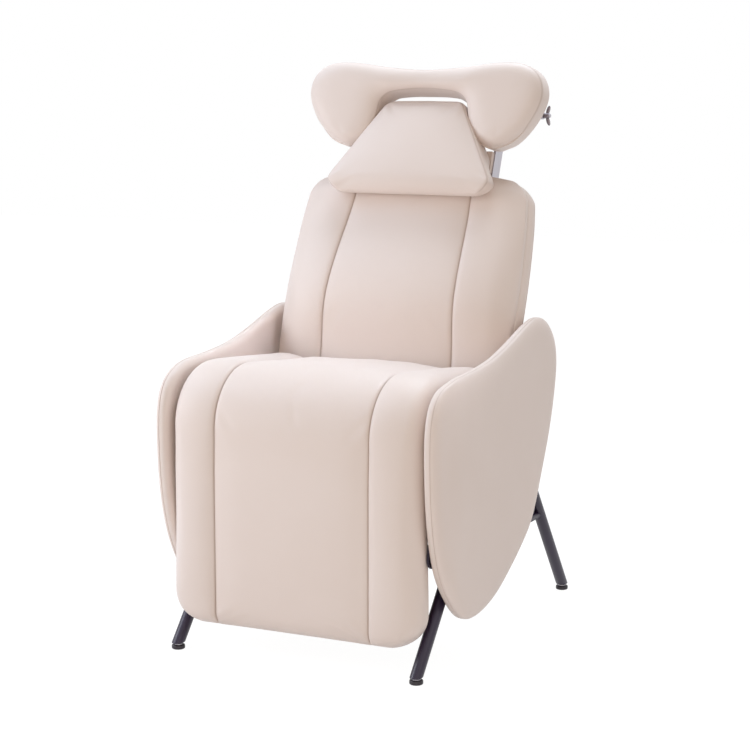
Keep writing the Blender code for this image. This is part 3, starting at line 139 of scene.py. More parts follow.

# %% [markdown]
# ## Faux leather
# The cover is polyurethane leather: a knitted cloth with a cast, embossed skin. The eye sees a soft
# satin sheen, a pebble grain about 1 mm across and a slight drift of tone. At this distance a pixel is
# about 2 mm, so the pebble is drawn at 3 mm, which is as coarse as it needs to be to show.
# Each soft mesh carries an attribute named seam, which is 1 in a stitched groove, and 0.8 along the
# seat's rear edge, where it tucks against the back. The shader darkens the skin there: painted shade
# for the shadow a groove or crease holds, and a little dirt.

# %% Faux leather
GRAIN_MM, CREASE_MM, TONE_MM = 3.0, 45.0, 220.0
SMOOTHEST, ROUGHEST = 0.44, 0.55


def faux_leather(name):
    """Tone drifts slowly, seams carry painted shade and dirt, and a pebble grain lies over slow creases."""
    material, tree, shader = new_material(name, Specular_IOR_Level=0.45, Sheen_Weight=0.10,
                                          Sheen_Roughness=0.5, Coat_Weight=0.04, Coat_Roughness=0.35)
    seam = add_node(tree, "Attribute", attribute_name="seam")
    # Painted shade: the seam mark darkens the skin in grooves and creases, with a little dirt.
    seam_shadow_and_dirt = drifting_colour(tree, seam, BLUSH_DEEP, SEAM_SHADOW_AND_DIRT, shader, "Base Color")
    drifting_colour(tree, noise(tree, 1000 / TONE_MM, 3.0), BLUSH_DEEP, BLUSH_PALE, seam_shadow_and_dirt, 6)
    crease = noise(tree, 1000 / CREASE_MM, 4.0, Roughness=0.55)
    drifting_gloss(tree, crease, SMOOTHEST, ROUGHEST, shader)
    place = add_node(tree, "TexCoord")
    pebble = add_node(tree, "TexVoronoi", [(place, "Object", None, "Vector")],
                      feature="SMOOTH_F1", Scale=1000 / GRAIN_MM, Smoothness=0.6)
    slow = add_node(tree, "Bump", [(crease, "Fac", None, "Height")], Strength=0.10, Distance=0.002)
    add_node(tree, "Bump", [(pebble, "Distance", None, "Height"), (slow, "Normal", None, "Normal"),
                            (None, "Normal", shader, "Normal")], Strength=0.10, Distance=0.0006)
    return material


BLUSH = faux_leather("blush_faux_leather")
print("material", BLUSH.name)

# %% [markdown]
# ## Steel, plywood and nylon
# The legs and the frame are mild steel tube with a baked powder coat: near black, faintly violet, with
# a satin gloss and an orange-peel ripple about 2 mm across. Posts and axle are zinc-plated, with rolling
# marks about 0.4 mm wide, drawn at 1 mm so that they show. Boards under the pads are birch plywood with
# long fibres. The glides and the drive's case are moulded black nylon, with a fine spark-eroded texture
# from the mould. These differ only in their numbers, so one function makes them all.


# %% Steel, plywood and nylon
def hard_finish(name, low, high, cloud, relief, bump, gloss=None, **shader_values):
    """Colour and gloss drift with one noise, a second one is the relief. Each noise is (scale, detail),
    the bump is (strength, depth) and the gloss is (lowest, highest roughness)."""
    material, tree, shader = new_material(name, **shader_values)
    drift = noise(tree, *cloud)
    drifting_colour(tree, drift, low, high, shader, "Base Color")
    if gloss:
        drifting_gloss(tree, drift, *gloss, shader)
    add_node(tree, "Bump", [(noise(tree, *relief), "Fac", None, "Height"),
                            (None, "Normal", shader, "Normal")], Strength=bump[0], Distance=bump[1])
    return material


COAT_CLOUD, ORANGE_PEEL = (1000 / 60, 4.0), (1000 / 2.0, 2.0)
SCUFFS, SPARK_MARKS = (1000 / 14, 5.0), (1000 / 1.2, 2.0)
ROLLED, FIBRES = ((1000.0, 1000.0, 25.0), 3.0), ((12.0, 260.0, 260.0), 5.0)
COATED = hard_finish("black_powder_coat", "#1f142a", "#2b1e39", COAT_CLOUD, ORANGE_PEEL, (0.12, 0.0004),
                     (0.32, 0.46), Specular_IOR_Level=0.5, Metallic=0.0)
BRIGHT = hard_finish("zinc_plated_steel", "#c9c5cb", "#a9a5ad", ROLLED, ROLLED, (0.05, 0.0003),
                     (0.28, 0.44), Metallic=1.0)
WING_METAL = hard_finish("cast_zinc", "#9a9197", "#7f777d", ROLLED, ROLLED, (0.05, 0.0003),
                         (0.36, 0.52), Metallic=1.0)
BIRCH = hard_finish("birch_plywood", "#a9845c", "#d2b48c", FIBRES, FIBRES, (0.15, 0.0005),
                    Roughness=0.62, Specular_IOR_Level=0.3)
NYLON = hard_finish("black_nylon", "#262127", "#373139", SCUFFS, SPARK_MARKS, (0.10, 0.0003),
                    (0.38, 0.56), Specular_IOR_Level=0.45)
print("materials", [finish.name for finish in (COATED, BRIGHT, WING_METAL, BIRCH, NYLON)])

# %% [markdown]
# ## From arrays to a mesh
# Every new piece is a grid of points. A closed grid is a stack of loops: each row is one loop round
# the piece. The helper joins neighbouring points into quads with index arrays, so there is no loop
# over vertices. A stack of loops is closed at its ends by zipping the upper half of the end loop to
# its lower half.


# %% Mesh helpers
HARD_TURN, SOFT_TURN = 40.0, 60.0  # degrees between two faces above which an edge looks sharp


def grid_quads(rows, columns, wrapped):
    """Quad corners of a grid: each point, its right neighbour, and the two in the next row."""
    starts = np.arange(columns if wrapped else columns - 1)
    row, here = np.meshgrid(np.arange(rows - 1), starts, indexing="ij")
    after = (here + 1) % columns
    quads = np.stack([row * columns + here, row * columns + after, (row + 1) * columns + after,
                      (row + 1) * columns + here], axis=-1)
    return quads.reshape(-1, 4)


def zipped_end(first, columns):
    """Quads across an end loop: point k of the upper half meets point (columns - 1 - k) below it."""
    k = np.arange(columns // 2 - 1)
    return first + np.stack([k, k + 1, columns - 2 - k, columns - 1 - k], axis=-1)


def mark(piece, name, values):
    """Stores one number at each point, for a shader or a modifier to read."""
    attribute = piece.data.attributes.new(name, "FLOAT", "POINT")
    attribute.data.foreach_set("value", np.ascontiguousarray(values, np.float32).ravel())


def face_out(mesh):
    """Joins points that coincide and turns every face outwards: the volume is then above zero."""
    work = bmesh.new()
    work.from_mesh(mesh)
    bmesh.ops.remove_doubles(work, verts=work.verts, dist=1e-6)
    bmesh.ops.dissolve_degenerate(work, edges=work.edges, dist=1e-7)
    bmesh.ops.recalc_face_normals(work, faces=work.faces)
    if work.calc_volume(signed=True) < 0:
        bmesh.ops.reverse_faces(work, faces=work.faces)
    work.to_mesh(mesh)
    work.free()


def new_object(name, data):
    """An object for a mesh, a lamp or a camera, linked into the scene."""
    made = bpy.data.objects.new(name, data)
    scene.collection.objects.link(made)
    return made


def mesh_piece(name, points, quads, material, sharp=HARD_TURN, closed=True, **marks):
    """A mesh object at the origin, from an array of points and an array of quad corners."""
    mesh = bpy.data.meshes.new(name)
    mesh.vertices.add(points.size // 3)
    mesh.vertices.foreach_set("co", np.ascontiguousarray(points, np.float32).ravel())
    mesh.loops.add(quads.size)
    mesh.loops.foreach_set("vertex_index", np.ascontiguousarray(quads, np.int32).ravel())
    mesh.polygons.add(len(quads))
    mesh.polygons.foreach_set("loop_start", np.arange(0, quads.size, 4, dtype=np.int32))
    mesh.update(calc_edges=True)
    mesh.validate()
    piece = new_object(name, mesh)
    mesh.materials.append(material)
    for attribute, values in marks.items():
        mark(piece, attribute, values)
    if closed:
        face_out(mesh)
    mesh.shade_smooth()
    mesh.set_sharp_from_angle(angle=math.radians(sharp))
    print(name, len(mesh.vertices), "points")
    return piece


def place_piece(piece, slot, body, *stands_for):
    """Puts a piece on the body that carries it and hides the CAD nodes it stands for; slot is not used."""
    if stands_for:
        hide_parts(*stands_for)
    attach(piece, body)


print("a 3 by 4 open grid has", len(grid_quads(3, 4, False)), "quads")

# %% [markdown]
# ## The section of a pad
# Cut a pad across and you see a flat underside, two soft edges and a crowned top with stitched
# grooves. Below, the upper half of that loop runs from the left edge over the top to the right edge,
# and the lower half runs back with the same spacing, so the two halves can be zipped.
# Columns crowd round each seam, because a groove 8 mm wide needs points 1 to 2 mm apart.

# %% Section helpers
SEAM_STEPS = np.array([-16, -11, -7.5, -5, -3.2, -2.0, -1.0, 0, 1.0, 2.0, 3.2, 5, 7.5, 11, 16]) / 1000
SEAM_DEPTH, SEAM_WIDTH, STITCH_WIDTH = 0.0055, 0.0034, 0.0016


def column(values):
    """One value for each row, ready to meet a row of places."""
    return np.asarray(values, float)[:, None]


def crown_stations(seam, edge, inner_count, outer_count):
    """Places across a pad with two seams. seam and edge are columns, one value a row: steps that shorten
    towards the edge (a sine), the seam's cluster, and even steps across the middle."""
    reach = SEAM_STEPS[-1]
    outer = seam + reach + (edge - seam - reach) * np.sin(np.linspace(np.pi / 2, 0, outer_count + 1)[:-1])
    middle = (seam - reach) * np.linspace(1, -1, inner_count + 2)[1:-1]
    cluster = seam + SEAM_STEPS
    return np.hstack([-outer, -cluster[:, ::-1], -middle, cluster, outer[:, ::-1]])


def half_loop(inner_x, half_width, level, radius, direction, count=9):
    """Half of a section: up a rounded left edge, along the given places, down a rounded right edge.
    The edge is a quarter of a circle with this radius; direction is 1 for the top and -1 below."""
    a = np.linspace(0, np.pi / 2, count + 1)[:-1]
    side_x = half_width - radius * (1 - np.cos(a))
    side_t = level - direction * radius * (1 - np.sin(a))
    x = np.hstack([-side_x, inner_x, side_x[:, ::-1]])
    t = np.hstack([side_t, level + 0 * inner_x, side_t[:, ::-1]])
    return x, t


def joined(upper, lower):
    """A whole loop from its two halves: along the upper one and back along the lower one."""
    return np.hstack([upper, lower[:, ::-1]])


def crowded_rows(low, high, low_reach, high_reach, end_count, middle_count):
    """Rows from low to high: even steps between, closer ones within a reach of each end (cosine, sine)."""
    turn = np.linspace(0, np.pi / 2, end_count)
    first = low + low_reach * (1 - np.cos(turn))
    last = high - high_reach * (1 - np.sin(turn))
    return np.concatenate([first, np.linspace(first[-1], last[0], middle_count)[1:-1], last])


def channels(x, seam_x, width, middle_crown, side_crown):
    """Three channels between two seams: the distance past the seam, that as a share of the way to the
    side, and the crowns, which are parabolas."""
    from_seam = np.abs(x) - seam_x
    inside = np.clip(np.abs(x) / seam_x, 0, 1)
    outside = np.clip(from_seam / (width - seam_x), 0, 1)
    return from_seam, outside, middle_crown * (1 - inside ** 2) + side_crown * outside * (1 - outside) * 4


def sewn(points, seam, edge=0):
    """A pad's points with their marks: its seams, and what the cloth step holds, which is the seams, the
    edge and the whole underside."""
    below = 0 * seam
    return points, joined(seam, below), joined(np.maximum(1.5 * seam, edge), 1 + below)


def groove(distance):
    """A stitched groove: a bell, sharp at the bottom."""
    return SEAM_DEPTH * np.exp(-np.abs(distance / SEAM_WIDTH) ** 1.3)


def stitch(distance, width=STITCH_WIDTH):
    """The mark of a seam: 1 on the stitches, falling off as a bell of this width."""
    return np.exp(-np.abs(distance / width) ** 2)


def line_reach(line):
    """How far along a line of points each one lies: the sum of the steps before it."""
    return np.concatenate([[0], np.cumsum(np.linalg.norm(np.diff(line, axis=0), axis=1))])


def shoulder(distance, radius, least=0.0):
    """Share of full height at a distance in from an edge: a quarter of an ellipse up from the least share,
    then level."""
    near = np.clip(distance / radius, 0, 1)
    return least + (1 - least) * np.sqrt(1 - (1 - near) ** 2)


def corner_loss(distance, radius):
    """What a round corner takes off a half-width, at a distance in from the end."""
    return radius * (1 - shoulder(distance, radius))


def smooth_step(value, low, high):
    """0 below low, 1 above high, and 3s^2 - 2s^3 between."""
    share = np.clip((value - low) / (high - low), 0, 1)
    return share * share * (3 - 2 * share)


print("stations across", crown_stations(column([0.169]), column([0.23]), 9, 4).shape)

# %% [markdown]
# ## Letting the covers swell
# Foam pushes its cover out until the stitching stops it. Blender's Cloth does the same: the cover is
# the cloth, a little air pressure is the foam, and the sewn and stapled points are pinned. The frame
# counter is stepped twenty times, each point's travel is held under a cap, and the result is written
# back, so no simulation is left on the piece.


# %% Cloth helper
def coordinates(mesh):
    """A mesh's points as an array."""
    values = np.empty(len(mesh.vertices) * 3, np.float32)
    mesh.vertices.foreach_get("co", values)
    return values.reshape(-1, 3)


def pin(piece):
    """A vertex group from the piece's held marks, in steps of a tenth."""
    held = np.empty(len(piece.data.vertices), np.float32)
    piece.data.attributes["held"].data.foreach_get("value", held)
    group = piece.vertex_groups.new(name="held")
    levels = np.round(np.clip(held, 0, 1), 1)
    for level in np.unique(levels[levels > 0]):
        group.add(np.flatnonzero(levels == level).tolist(), float(level), "REPLACE")
    return group


def swell(piece, cap, pressure=4.0, frames=20):
    """Runs Cloth with pressure. A travel d is kept as d * cap / (d + cap), which never passes the cap."""
    rest = coordinates(piece.data)
    group = pin(piece)
    cloth = piece.modifiers.new("swell", "CLOTH")
    cloth.settings.quality = 5
    cloth.settings.use_pressure = True
    cloth.settings.uniform_pressure_force = pressure
    cloth.settings.vertex_group_mass = group.name
    cloth.settings.bending_stiffness = 2.0
    cloth.settings.effector_weights.gravity = 0.0
    cloth.collision_settings.use_collision = False
    for step in range(1, frames + 1):
        scene.frame_set(step)
    graph = bpy.context.evaluated_depsgraph_get()
    travel = coordinates(piece.evaluated_get(graph).data) - rest
    piece.modifiers.remove(cloth)
    piece.vertex_groups.remove(group)
    scene.frame_set(1)
    length = np.linalg.norm(travel, axis=1, keepdims=True)
    moved = rest + travel * cap / (length + cap)
    piece.data.vertices.foreach_set("co", moved.ravel())
    piece.data.update()
    print(piece.name, "pushed", round(float(length.max()) * 1000, 1), "mm, kept under", cap * 1000, "mm")
    piece.data.attributes.remove(piece.data.attributes["held"])


def sewn_pad(name, shape, cap):
    """A closed leather pad from a stack of loops, shaped (rows, columns, 3), zipped at both ends."""
    points, seam, held = shape
    rows, columns = points.shape[:2]
    quads = np.concatenate([grid_quads(rows, columns, True), zipped_end(0, columns),
                            zipped_end((rows - 1) * columns, columns)])
    pad = mesh_piece(name, points, quads, BLUSH, SOFT_TURN, seam=seam, held=held)
    swell(pad, cap)
    return pad



# %% [markdown]
# ## Seat, knee and leg pad
# One pad falls like water from the seat over the knee to the floor. It has two seams along its whole
# length, and it bends at the knee when the leg rest lifts. It could be two pads with a gap, but the
# photograph shows no gap, so it is one closed surface, carried along a path. The path is the pad's outer
# line: a straight seat, a part of a circle round the knee, and a straight fall. An inner line runs beside
# it and gives the thickness.

# %% Seat, knee and leg pad: its two lines
KNEE = np.array([-0.277, 0.455])
SEAT_SLOPE = math.radians(5.4)
LEG_BOTTOM = 0.0615
FOOT_CORNER = 0.066


def knee_line(radius, rear_y, leg_y):
    """Rear of the seat to the bottom of the leg: a line, a quarter turn round the knee, a line.
    The rows close up towards the foot, where the corners turn."""
    start = math.pi / 2 - SEAT_SLOPE
    first = KNEE + radius * np.array([math.cos(start), math.sin(start)])
    back_y = first[0] + (rear_y - first[0]) * (1 - (1 - np.linspace(1, 0, 40)[:-1]) ** 1.4)
    seat = np.stack([back_y, first[1] - (back_y - first[0]) * math.tan(SEAT_SLOPE)], axis=1)
    angles = np.linspace(start, math.pi, 30)
    knee = KNEE + radius * np.stack([np.cos(angles), np.sin(angles)], axis=1)
    turn = np.linspace(0, np.pi / 2, 22)
    fall = np.concatenate([np.linspace(KNEE[1], LEG_BOTTOM + FOOT_CORNER, 46)[1:-1],
                           LEG_BOTTOM + FOOT_CORNER * (1 - np.sin(turn))])
    leg_way = smooth_step(KNEE[1] - fall, 0.0, 0.10)
    leg = np.stack([knee[-1, 0] + (leg_y - knee[-1, 0]) * leg_way, fall], axis=1)
    return np.concatenate([seat, knee, leg])


outer_line = knee_line(radius=0.1215, rear_y=0.0000, leg_y=-0.4010)
inner_line = knee_line(radius=0.0475, rear_y=-0.0270, leg_y=-0.3405)
print("pad lines have", len(outer_line), "rows")

# %% Seat, knee and leg pad: its surface
SEAT_SEAM_X = 0.169
PAD_EDGE, PAD_LOW_EDGE = 0.028, 0.010
PAD_HALF_WIDTH, SEAT_FLARE, FOOT_FLARE = 0.2715, 0.0035, 0.0025
SEAT_FLARE_Y, FOOT_FLARE_UP = (-0.20, -0.05), (0.22, 0.07)
REAR_ROUND, REAR_LEAST, FOOT_ROUND, FOOT_LEAST = 0.028, 0.34, 0.032, 0.10  # reach and least share
SEAT_CROWN, SEAT_SIDE_CROWN, SEAT_SIDE_DROP = 0.0040, 0.0050, 0.0070
REAR_RIPPLE, RIPPLE_REACH = 0.0020, 0.09
# The first is the width of the band of painted shade along the seat's rear edge, where it meets the back.
REAR_CREASE_SHADE_WIDTH, FOOT_FADE = 0.005, 0.012


def waterfall_width(to_foot):
    """Half-width by height of the row: a little wider at the seat's rear and just above the foot."""
    seat = smooth_step(outer_line[:, 0], *SEAT_FLARE_Y)
    flare = smooth_step(to_foot, *FOOT_FLARE_UP) * (outer_line[:, 0] < KNEE[0])
    return PAD_HALF_WIDTH + SEAT_FLARE * seat + FOOT_FLARE * flare - corner_loss(to_foot, FOOT_CORNER)


def waterfall_pad():
    """Each row lies between the inner and the outer line. Both lines draw together at the two ends in
    half an ellipse. The top has a crown in each channel, a groove at each seam and a rippled rear edge."""
    to_rear = line_reach(outer_line)
    to_foot = to_rear[-1] - to_rear
    width = column(waterfall_width(to_foot))
    full = np.minimum(shoulder(to_rear, REAR_ROUND, REAR_LEAST), shoulder(to_foot, FOOT_ROUND, FOOT_LEAST))
    middle = 0.5 * (outer_line + inner_line)
    half_depth = 0.5 * np.linalg.norm(outer_line - inner_line, axis=1)
    outward = (outer_line - inner_line) / (2 * half_depth[:, None])
    depth = column(half_depth * full)
    edge = np.minimum(PAD_EDGE, 1.55 * depth)
    places = crown_stations(column(0 * to_rear + SEAT_SEAM_X), width - edge, 36, 10)
    top_x, top_t = half_loop(places, width, depth, edge, 1)
    low_x, low_t = half_loop(places, width, -depth, np.minimum(PAD_LOW_EDGE, 0.4 * depth), -1)
    from_seam, outside, crown = channels(top_x, SEAT_SEAM_X, width, SEAT_CROWN, SEAT_SIDE_CROWN)
    crown = crown - SEAT_SIDE_DROP * outside ** 2
    rear = column(smooth_step(to_rear, RIPPLE_REACH, 0.0))
    ripple = REAR_RIPPLE * rear * (np.sin(top_x * 25 + 0.4) + 0.7 * np.sin(top_x * 58 + 2.2))
    fade = column(smooth_step(to_foot, 0.0, FOOT_FADE))
    top_t = top_t + (crown + ripple - groove(from_seam)) * fade
    seam = stitch(from_seam) * fade
    # Painted shade: a band along the seat's rear edge, where it meets the back, joins the seam mark and is
    # darkened.
    seam = np.maximum(seam, 0.8 * column(stitch(to_rear, REAR_CREASE_SHADE_WIDTH)))
    x, t = joined(top_x, low_x), joined(top_t, low_t)
    flat = middle[:, None, :] + outward[:, None, :] * t[..., None]
    return sewn(np.concatenate([x[..., None], flat], axis=2), seam)


waterfall = sewn_pad("waterfall_pad", waterfall_pad(), cap=0.006)
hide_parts("seat_pad", "leg_pad")
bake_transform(waterfall)
print(waterfall.name, "bends between base and leg_rest")

# %% [markdown]
# ## The back's own directions
# The back leans 21.5 degrees. Its pieces are worked out with "up the back" and "behind the back" as
# their directions, measured from the hinge, and then laid into the world by two unit vectors.

# %% Back directions
BACK_HINGE = np.array([0.030, 0.460])
BACK_LEAN = math.radians(21.5)
UP_BACK = np.array([math.sin(BACK_LEAN), math.cos(BACK_LEAN)])
BEHIND_BACK = np.array([math.cos(BACK_LEAN), -math.sin(BACK_LEAN)])
BACK_TOP, BACK_LOW = 0.505, -0.035
BACK_CORNER, BACK_LOW_CORNER = 0.042, 0.095
BACK_HALF_WIDTH, BACK_NARROWING, BACK_WIDEST = 0.274, 0.22, 0.22
BACK_BOW = 0.014
TOP_SLIVER = 0.0004  # the last row stays open by this much


def on_back(x, up, behind):
    """World points from places across, up and behind the back: hinge + up * U + behind * B."""
    x, up, behind = np.broadcast_arrays(x, up, behind)
    flat = BACK_HINGE + up[..., None] * UP_BACK + behind[..., None] * BEHIND_BACK
    return np.concatenate([x[..., None], flat], axis=-1)


def back_half_width(up):
    """Widest 0.22 m up, narrowing with the square of the distance, with round corners at both ends."""
    up = np.minimum(up, BACK_TOP - TOP_SLIVER)
    corners = corner_loss(BACK_TOP - up, BACK_CORNER) + corner_loss(up - BACK_LOW, BACK_LOW_CORNER)
    return BACK_HALF_WIDTH - BACK_NARROWING * (up - BACK_WIDEST) ** 2 - corners


def bowed_top(x, up):
    """The top edge falls towards its corners: height less a cube of the distance from the middle."""
    return up - BACK_BOW * np.abs(x / 0.216) ** 3 * smooth_step(up, 0.38, BACK_TOP)


print("top of the back in the world", on_back(0.0, BACK_TOP, 0.0))

# %% [markdown]
# ## Back cushion
# The cushion has three upright channels. It swells at the small of the back, and its outer channels
# turn back to the sides. In the photograph the seams look bent, and that swell is what bends them: on
# the cushion they only lean in a little. A loop runs round it at each height, and both ends draw
# together to a sewn edge.

# %% Back cushion
BACK_PAD_REAR, BACK_PAD_FULL, BACK_RIM = -0.0128, 0.0300, 0.011
BACK_LOW_REACH, BACK_LOW_ROUND, BACK_LOW_LEAST, BACK_LOW_FADE = 0.05, 0.036, 0.15, 0.02
BACK_TOP_ROUND, BACK_TOP_LEAST, BACK_TOP_FADE = 0.046, 0.20, 0.03
BACK_SIDE_ROUND = 0.045
BACK_SIDE_IN = 0.006  # the cover behind stands out a little past the cushion's edge
BACK_SEAM_X, BACK_SEAM_LEAN, BACK_SEAM_ROOM = 0.153, 0.023, 0.045
BACK_CROWN, BACK_SIDE_CROWN, BACK_SIDE_SLOPE = 0.0070, 0.0060, 0.45
LUMBAR_SWELL, LUMBAR_UP, LUMBAR_ABOVE, LUMBAR_BELOW = 0.036, 0.217, 0.250, 0.165


def lumbar(up):
    """A hump: the squared cosine of the distance from its height, with a longer reach above than below."""
    reach = np.where(up > LUMBAR_UP, LUMBAR_ABOVE, LUMBAR_BELOW)
    share = np.clip(np.abs(up - LUMBAR_UP) / reach, 0, 1)
    return LUMBAR_SWELL * np.cos(np.pi / 2 * share) ** 2


def back_cushion():
    """Thickness above the board: a rim, and from it a quarter of an ellipse up to the full height, which
    is 30 mm plus the lumbar hump. The outer channels slope down to about half of it. Channels add crowns,
    seams take grooves."""
    up = crowded_rows(BACK_LOW, BACK_TOP, BACK_LOW_REACH, BACK_CORNER, 18, 58)
    share = (up - BACK_LOW) / (BACK_TOP - BACK_LOW)
    width = column(back_half_width(up) - BACK_SIDE_IN)
    low_end = shoulder(up - BACK_LOW, BACK_LOW_ROUND, BACK_LOW_LEAST)
    top_end = shoulder(BACK_TOP - up, BACK_TOP_ROUND, BACK_TOP_LEAST)
    full = column((BACK_PAD_FULL + lumbar(up)) * np.minimum(low_end, top_end))
    rim = np.minimum(BACK_RIM, 0.5 * full)
    seam_x = np.minimum(column(BACK_SEAM_X - BACK_SEAM_LEAN * share ** 2.2), width - BACK_SEAM_ROOM)
    top_x = crown_stations(seam_x, width, 34, 18)
    low_x = top_x * (1 - 0.0005 / width)
    from_seam, outside, crown = channels(top_x, seam_x, width, BACK_CROWN, BACK_SIDE_CROWN)
    belly = column(np.sqrt(np.clip(np.sin(np.pi * share), 0, 1)))
    fade = column(smooth_step(BACK_TOP - up, 0.0, BACK_TOP_FADE)
                  * smooth_step(up - BACK_LOW, 0.0, BACK_LOW_FADE))
    slope = 1 - BACK_SIDE_SLOPE * outside ** 1.15
    rise = rim + (full * slope - rim) * shoulder(width - np.abs(top_x), BACK_SIDE_ROUND)
    rise = rise + (crown * belly - groove(from_seam)) * fade
    seam = stitch(from_seam) * fade
    x, thick = joined(top_x, low_x), joined(rise, 0 * low_x)
    points = on_back(x, bowed_top(x, column(up)), BACK_PAD_REAR - thick)
    return sewn(points, seam, np.abs(top_x) > width - 0.001)


cushion = sewn_pad("back_cushion", back_cushion(), cap=0.005)
place_piece(cushion, "faux_leather", "back", "back_pad")

# %% [markdown]
# ## Rear cover of the back
# Behind the cushion a leather tray hides the board and the uprights. It is a thin open surface: each
# row runs from the left rim round the back to the right rim, and over the top the rows come forward.
# From the cushion's edge its sides swell out by 6 mm, and further back they draw in towards the rear.
# Two slots on top let the headrest's posts through: the quads there are simply left out.
# Solidify gives the skin its 3 mm. A seam runs up its sides, about 28 mm behind the front edge.

# %% Rear cover
COVER_RIM, COVER_DEPTH, COVER_SKIN = -0.0122, 0.0584, 0.0028
COVER_LOW, COVER_TOP_ROUND, COVER_EDGE, COVER_BELLY = 0.030, 0.045, 0.024, 0.004
COVER_SIDE, COVER_DRAW = 0.030, 0.60  # full width to this depth, then drawn in by this share of each step
COVER_TOP_TURN, COVER_SWELL_END, COVER_FLAT_X, COVER_BELLY_X = 0.040, 0.018, 0.17, 0.25
COVER_SEAM, COVER_GROOVE = 0.82, 0.0012  # share of the side in front of the seam, depth of its groove
POST_X, SLOT_HALF, SLOT_REAR, SLOT_HEIGHT = 0.155, 0.0034, 0.0425, 0.03
SLOT_EDGES = np.array([-0.162, -0.1585, -0.1515, -0.148])


def rear_cover():
    """Rows up the back. The rear face stands 58 mm behind the rim, and rounds over the top and the sides."""
    turn = np.linspace(0, np.pi / 2, 16)
    straight = np.linspace(COVER_LOW, BACK_TOP - COVER_TOP_ROUND, 52)[:-1]
    up = np.concatenate([straight, BACK_TOP - COVER_TOP_ROUND * (1 - np.sin(turn))])
    width = column(back_half_width(up) - 0.0005)
    full = column(COVER_DEPTH * np.maximum(shoulder(BACK_TOP - up, COVER_TOP_TURN), 0.02))
    edge = np.minimum(COVER_EDGE, 0.9 * full)
    outer = np.linspace(0, 1, 8)[:-1]
    left = (edge - width) + (SLOT_EDGES[0] - edge + width) * outer
    middle = np.linspace(SLOT_EDGES[-1], 0, 12)[1:] + 0 * width
    half = np.hstack([left, SLOT_EDGES + 0 * width, middle])
    places = np.hstack([half, -half[:, -2::-1]])
    x, t = half_loop(places, width, full, edge, 1, count=10)
    steps = np.array([0, 0.2, 0.4, 0.6, 0.74, 0.79, COVER_SEAM, 0.85, 0.91])
    sides = (full - edge) * steps
    stitched = stitch(steps - COVER_SEAM, 0.03) * smooth_step(full, 0.020, 0.050)
    seam = np.hstack([stitched, 0 * x, stitched[:, ::-1]])
    x = np.hstack([0 * sides - width, x, 0 * sides + width])
    t = np.hstack([sides, t, sides[:, ::-1]])
    share = np.clip((column(up) - COVER_LOW) / (BACK_TOP - COVER_LOW), 0, 1)
    drawn = BACK_SIDE_IN * smooth_step(t, COVER_SWELL_END, 0.0) + COVER_DRAW * np.maximum(t - COVER_SIDE, 0)
    x = x - np.sign(x) * drawn * smooth_step(np.abs(x), COVER_FLAT_X, width)
    belly = COVER_BELLY * (1 - np.clip(x / COVER_BELLY_X, -1, 1) ** 2) * np.sin(np.pi * share)
    t = t + belly * smooth_step(t, 0.030, COVER_DEPTH)
    across = x - np.sign(x) * COVER_GROOVE * seam
    return on_back(across, bowed_top(x, column(up)), COVER_RIM + t), seam, x, t, column(up)


cover_points, cover_seam, cover_x, cover_t, cover_up = rear_cover()
rows, columns = cover_points.shape[:2]
quads = grid_quads(rows, columns, False)
from_post = np.abs(np.abs(cover_x.ravel()[quads].mean(1)) - POST_X)
behind = COVER_RIM + cover_t.ravel()[quads].mean(1)
height = (cover_up + 0 * cover_x).ravel()[quads].mean(1)
slotted = (from_post < SLOT_HALF) & (behind > 0) & (behind < SLOT_REAR) & (height > BACK_TOP - SLOT_HEIGHT)
cover = mesh_piece("back_rear_cover", cover_points, quads[~slotted], BLUSH, SOFT_TURN,
                   closed=False, seam=cover_seam)
cover.data.flip_normals()  # the rows are wound so that their faces look forward
skin = cover.modifiers.new("skin", "SOLIDIFY")
skin.thickness = COVER_SKIN
skin.offset = -1.0
place_piece(cover, "faux_leather", "back", "back_shell")
print(cover.name, rows, "by", columns, "with", int(slotted.sum()), "quads left out for the posts")

# %% [markdown]
# ## Side panels
# Each side is a petal of foam on a board. Its inner edge is rounded, its face rolls over further out,
# and a seam runs round between the two. A petal has no straight side, so its points lie on rings: the
# outline moved in along its own normal, step by step, and then drawn to the middle.

# %% Side panels: the outline
PANEL_EDGE = np.array([  # in mm, round the petal
    (-250, 97), (-290, 124), (-328, 168), (-360, 225), (-384, 310), (-394, 410), (-391, 500), (-362, 552),
    (-295, 574), (-200, 580), (-105, 591), (-12, 614), (60, 636), (122, 648.5), (163, 638.5), (200, 612),
    (223, 575), (227, 530), (214, 468), (190, 398), (150, 318), (98, 226), (40, 180), (-28, 140), (-95, 108),
    (-155, 93), (-210, 89)]) / 1000
PANEL_MIDDLE = np.array([-0.085, 0.385])


def smooth_path(knots, count, closed):
    """A smooth curve through points (each stretch a cubic with its neighbours' slope), evenly spaced."""
    before, after = (knots[-1:], knots[:2]) if closed else (knots[:1], knots[-1:])
    ring = np.concatenate([before, knots, after])
    p0, p1, p2, p3 = ring[:-3, None], ring[1:-2, None], ring[2:-1, None], ring[3:, None]
    t = np.linspace(0, 1, 24, endpoint=False)[None, :, None]
    bend, twist = 2 * p0 - 5 * p1 + 4 * p2 - p3, 3 * p1 - p0 - 3 * p2 + p3
    fine = p1 + 0.5 * t * ((p2 - p0) + t * (bend + t * twist))
    fine = np.concatenate([fine.reshape(-1, 2), knots[:1] if closed else knots[-1:]])
    reach = line_reach(fine)
    wanted = np.linspace(0, reach[-1], count, endpoint=not closed)
    return np.stack([np.interp(wanted, reach, fine[:, k]) for k in (0, 1)], axis=1)


def evened(ring, times):
    """Each point moved to the mean of itself and its neighbours, a few times over."""
    for _ in range(times):
        ring = 0.5 * ring + 0.25 * (np.roll(ring, 1, axis=0) + np.roll(ring, -1, axis=0))
    return ring


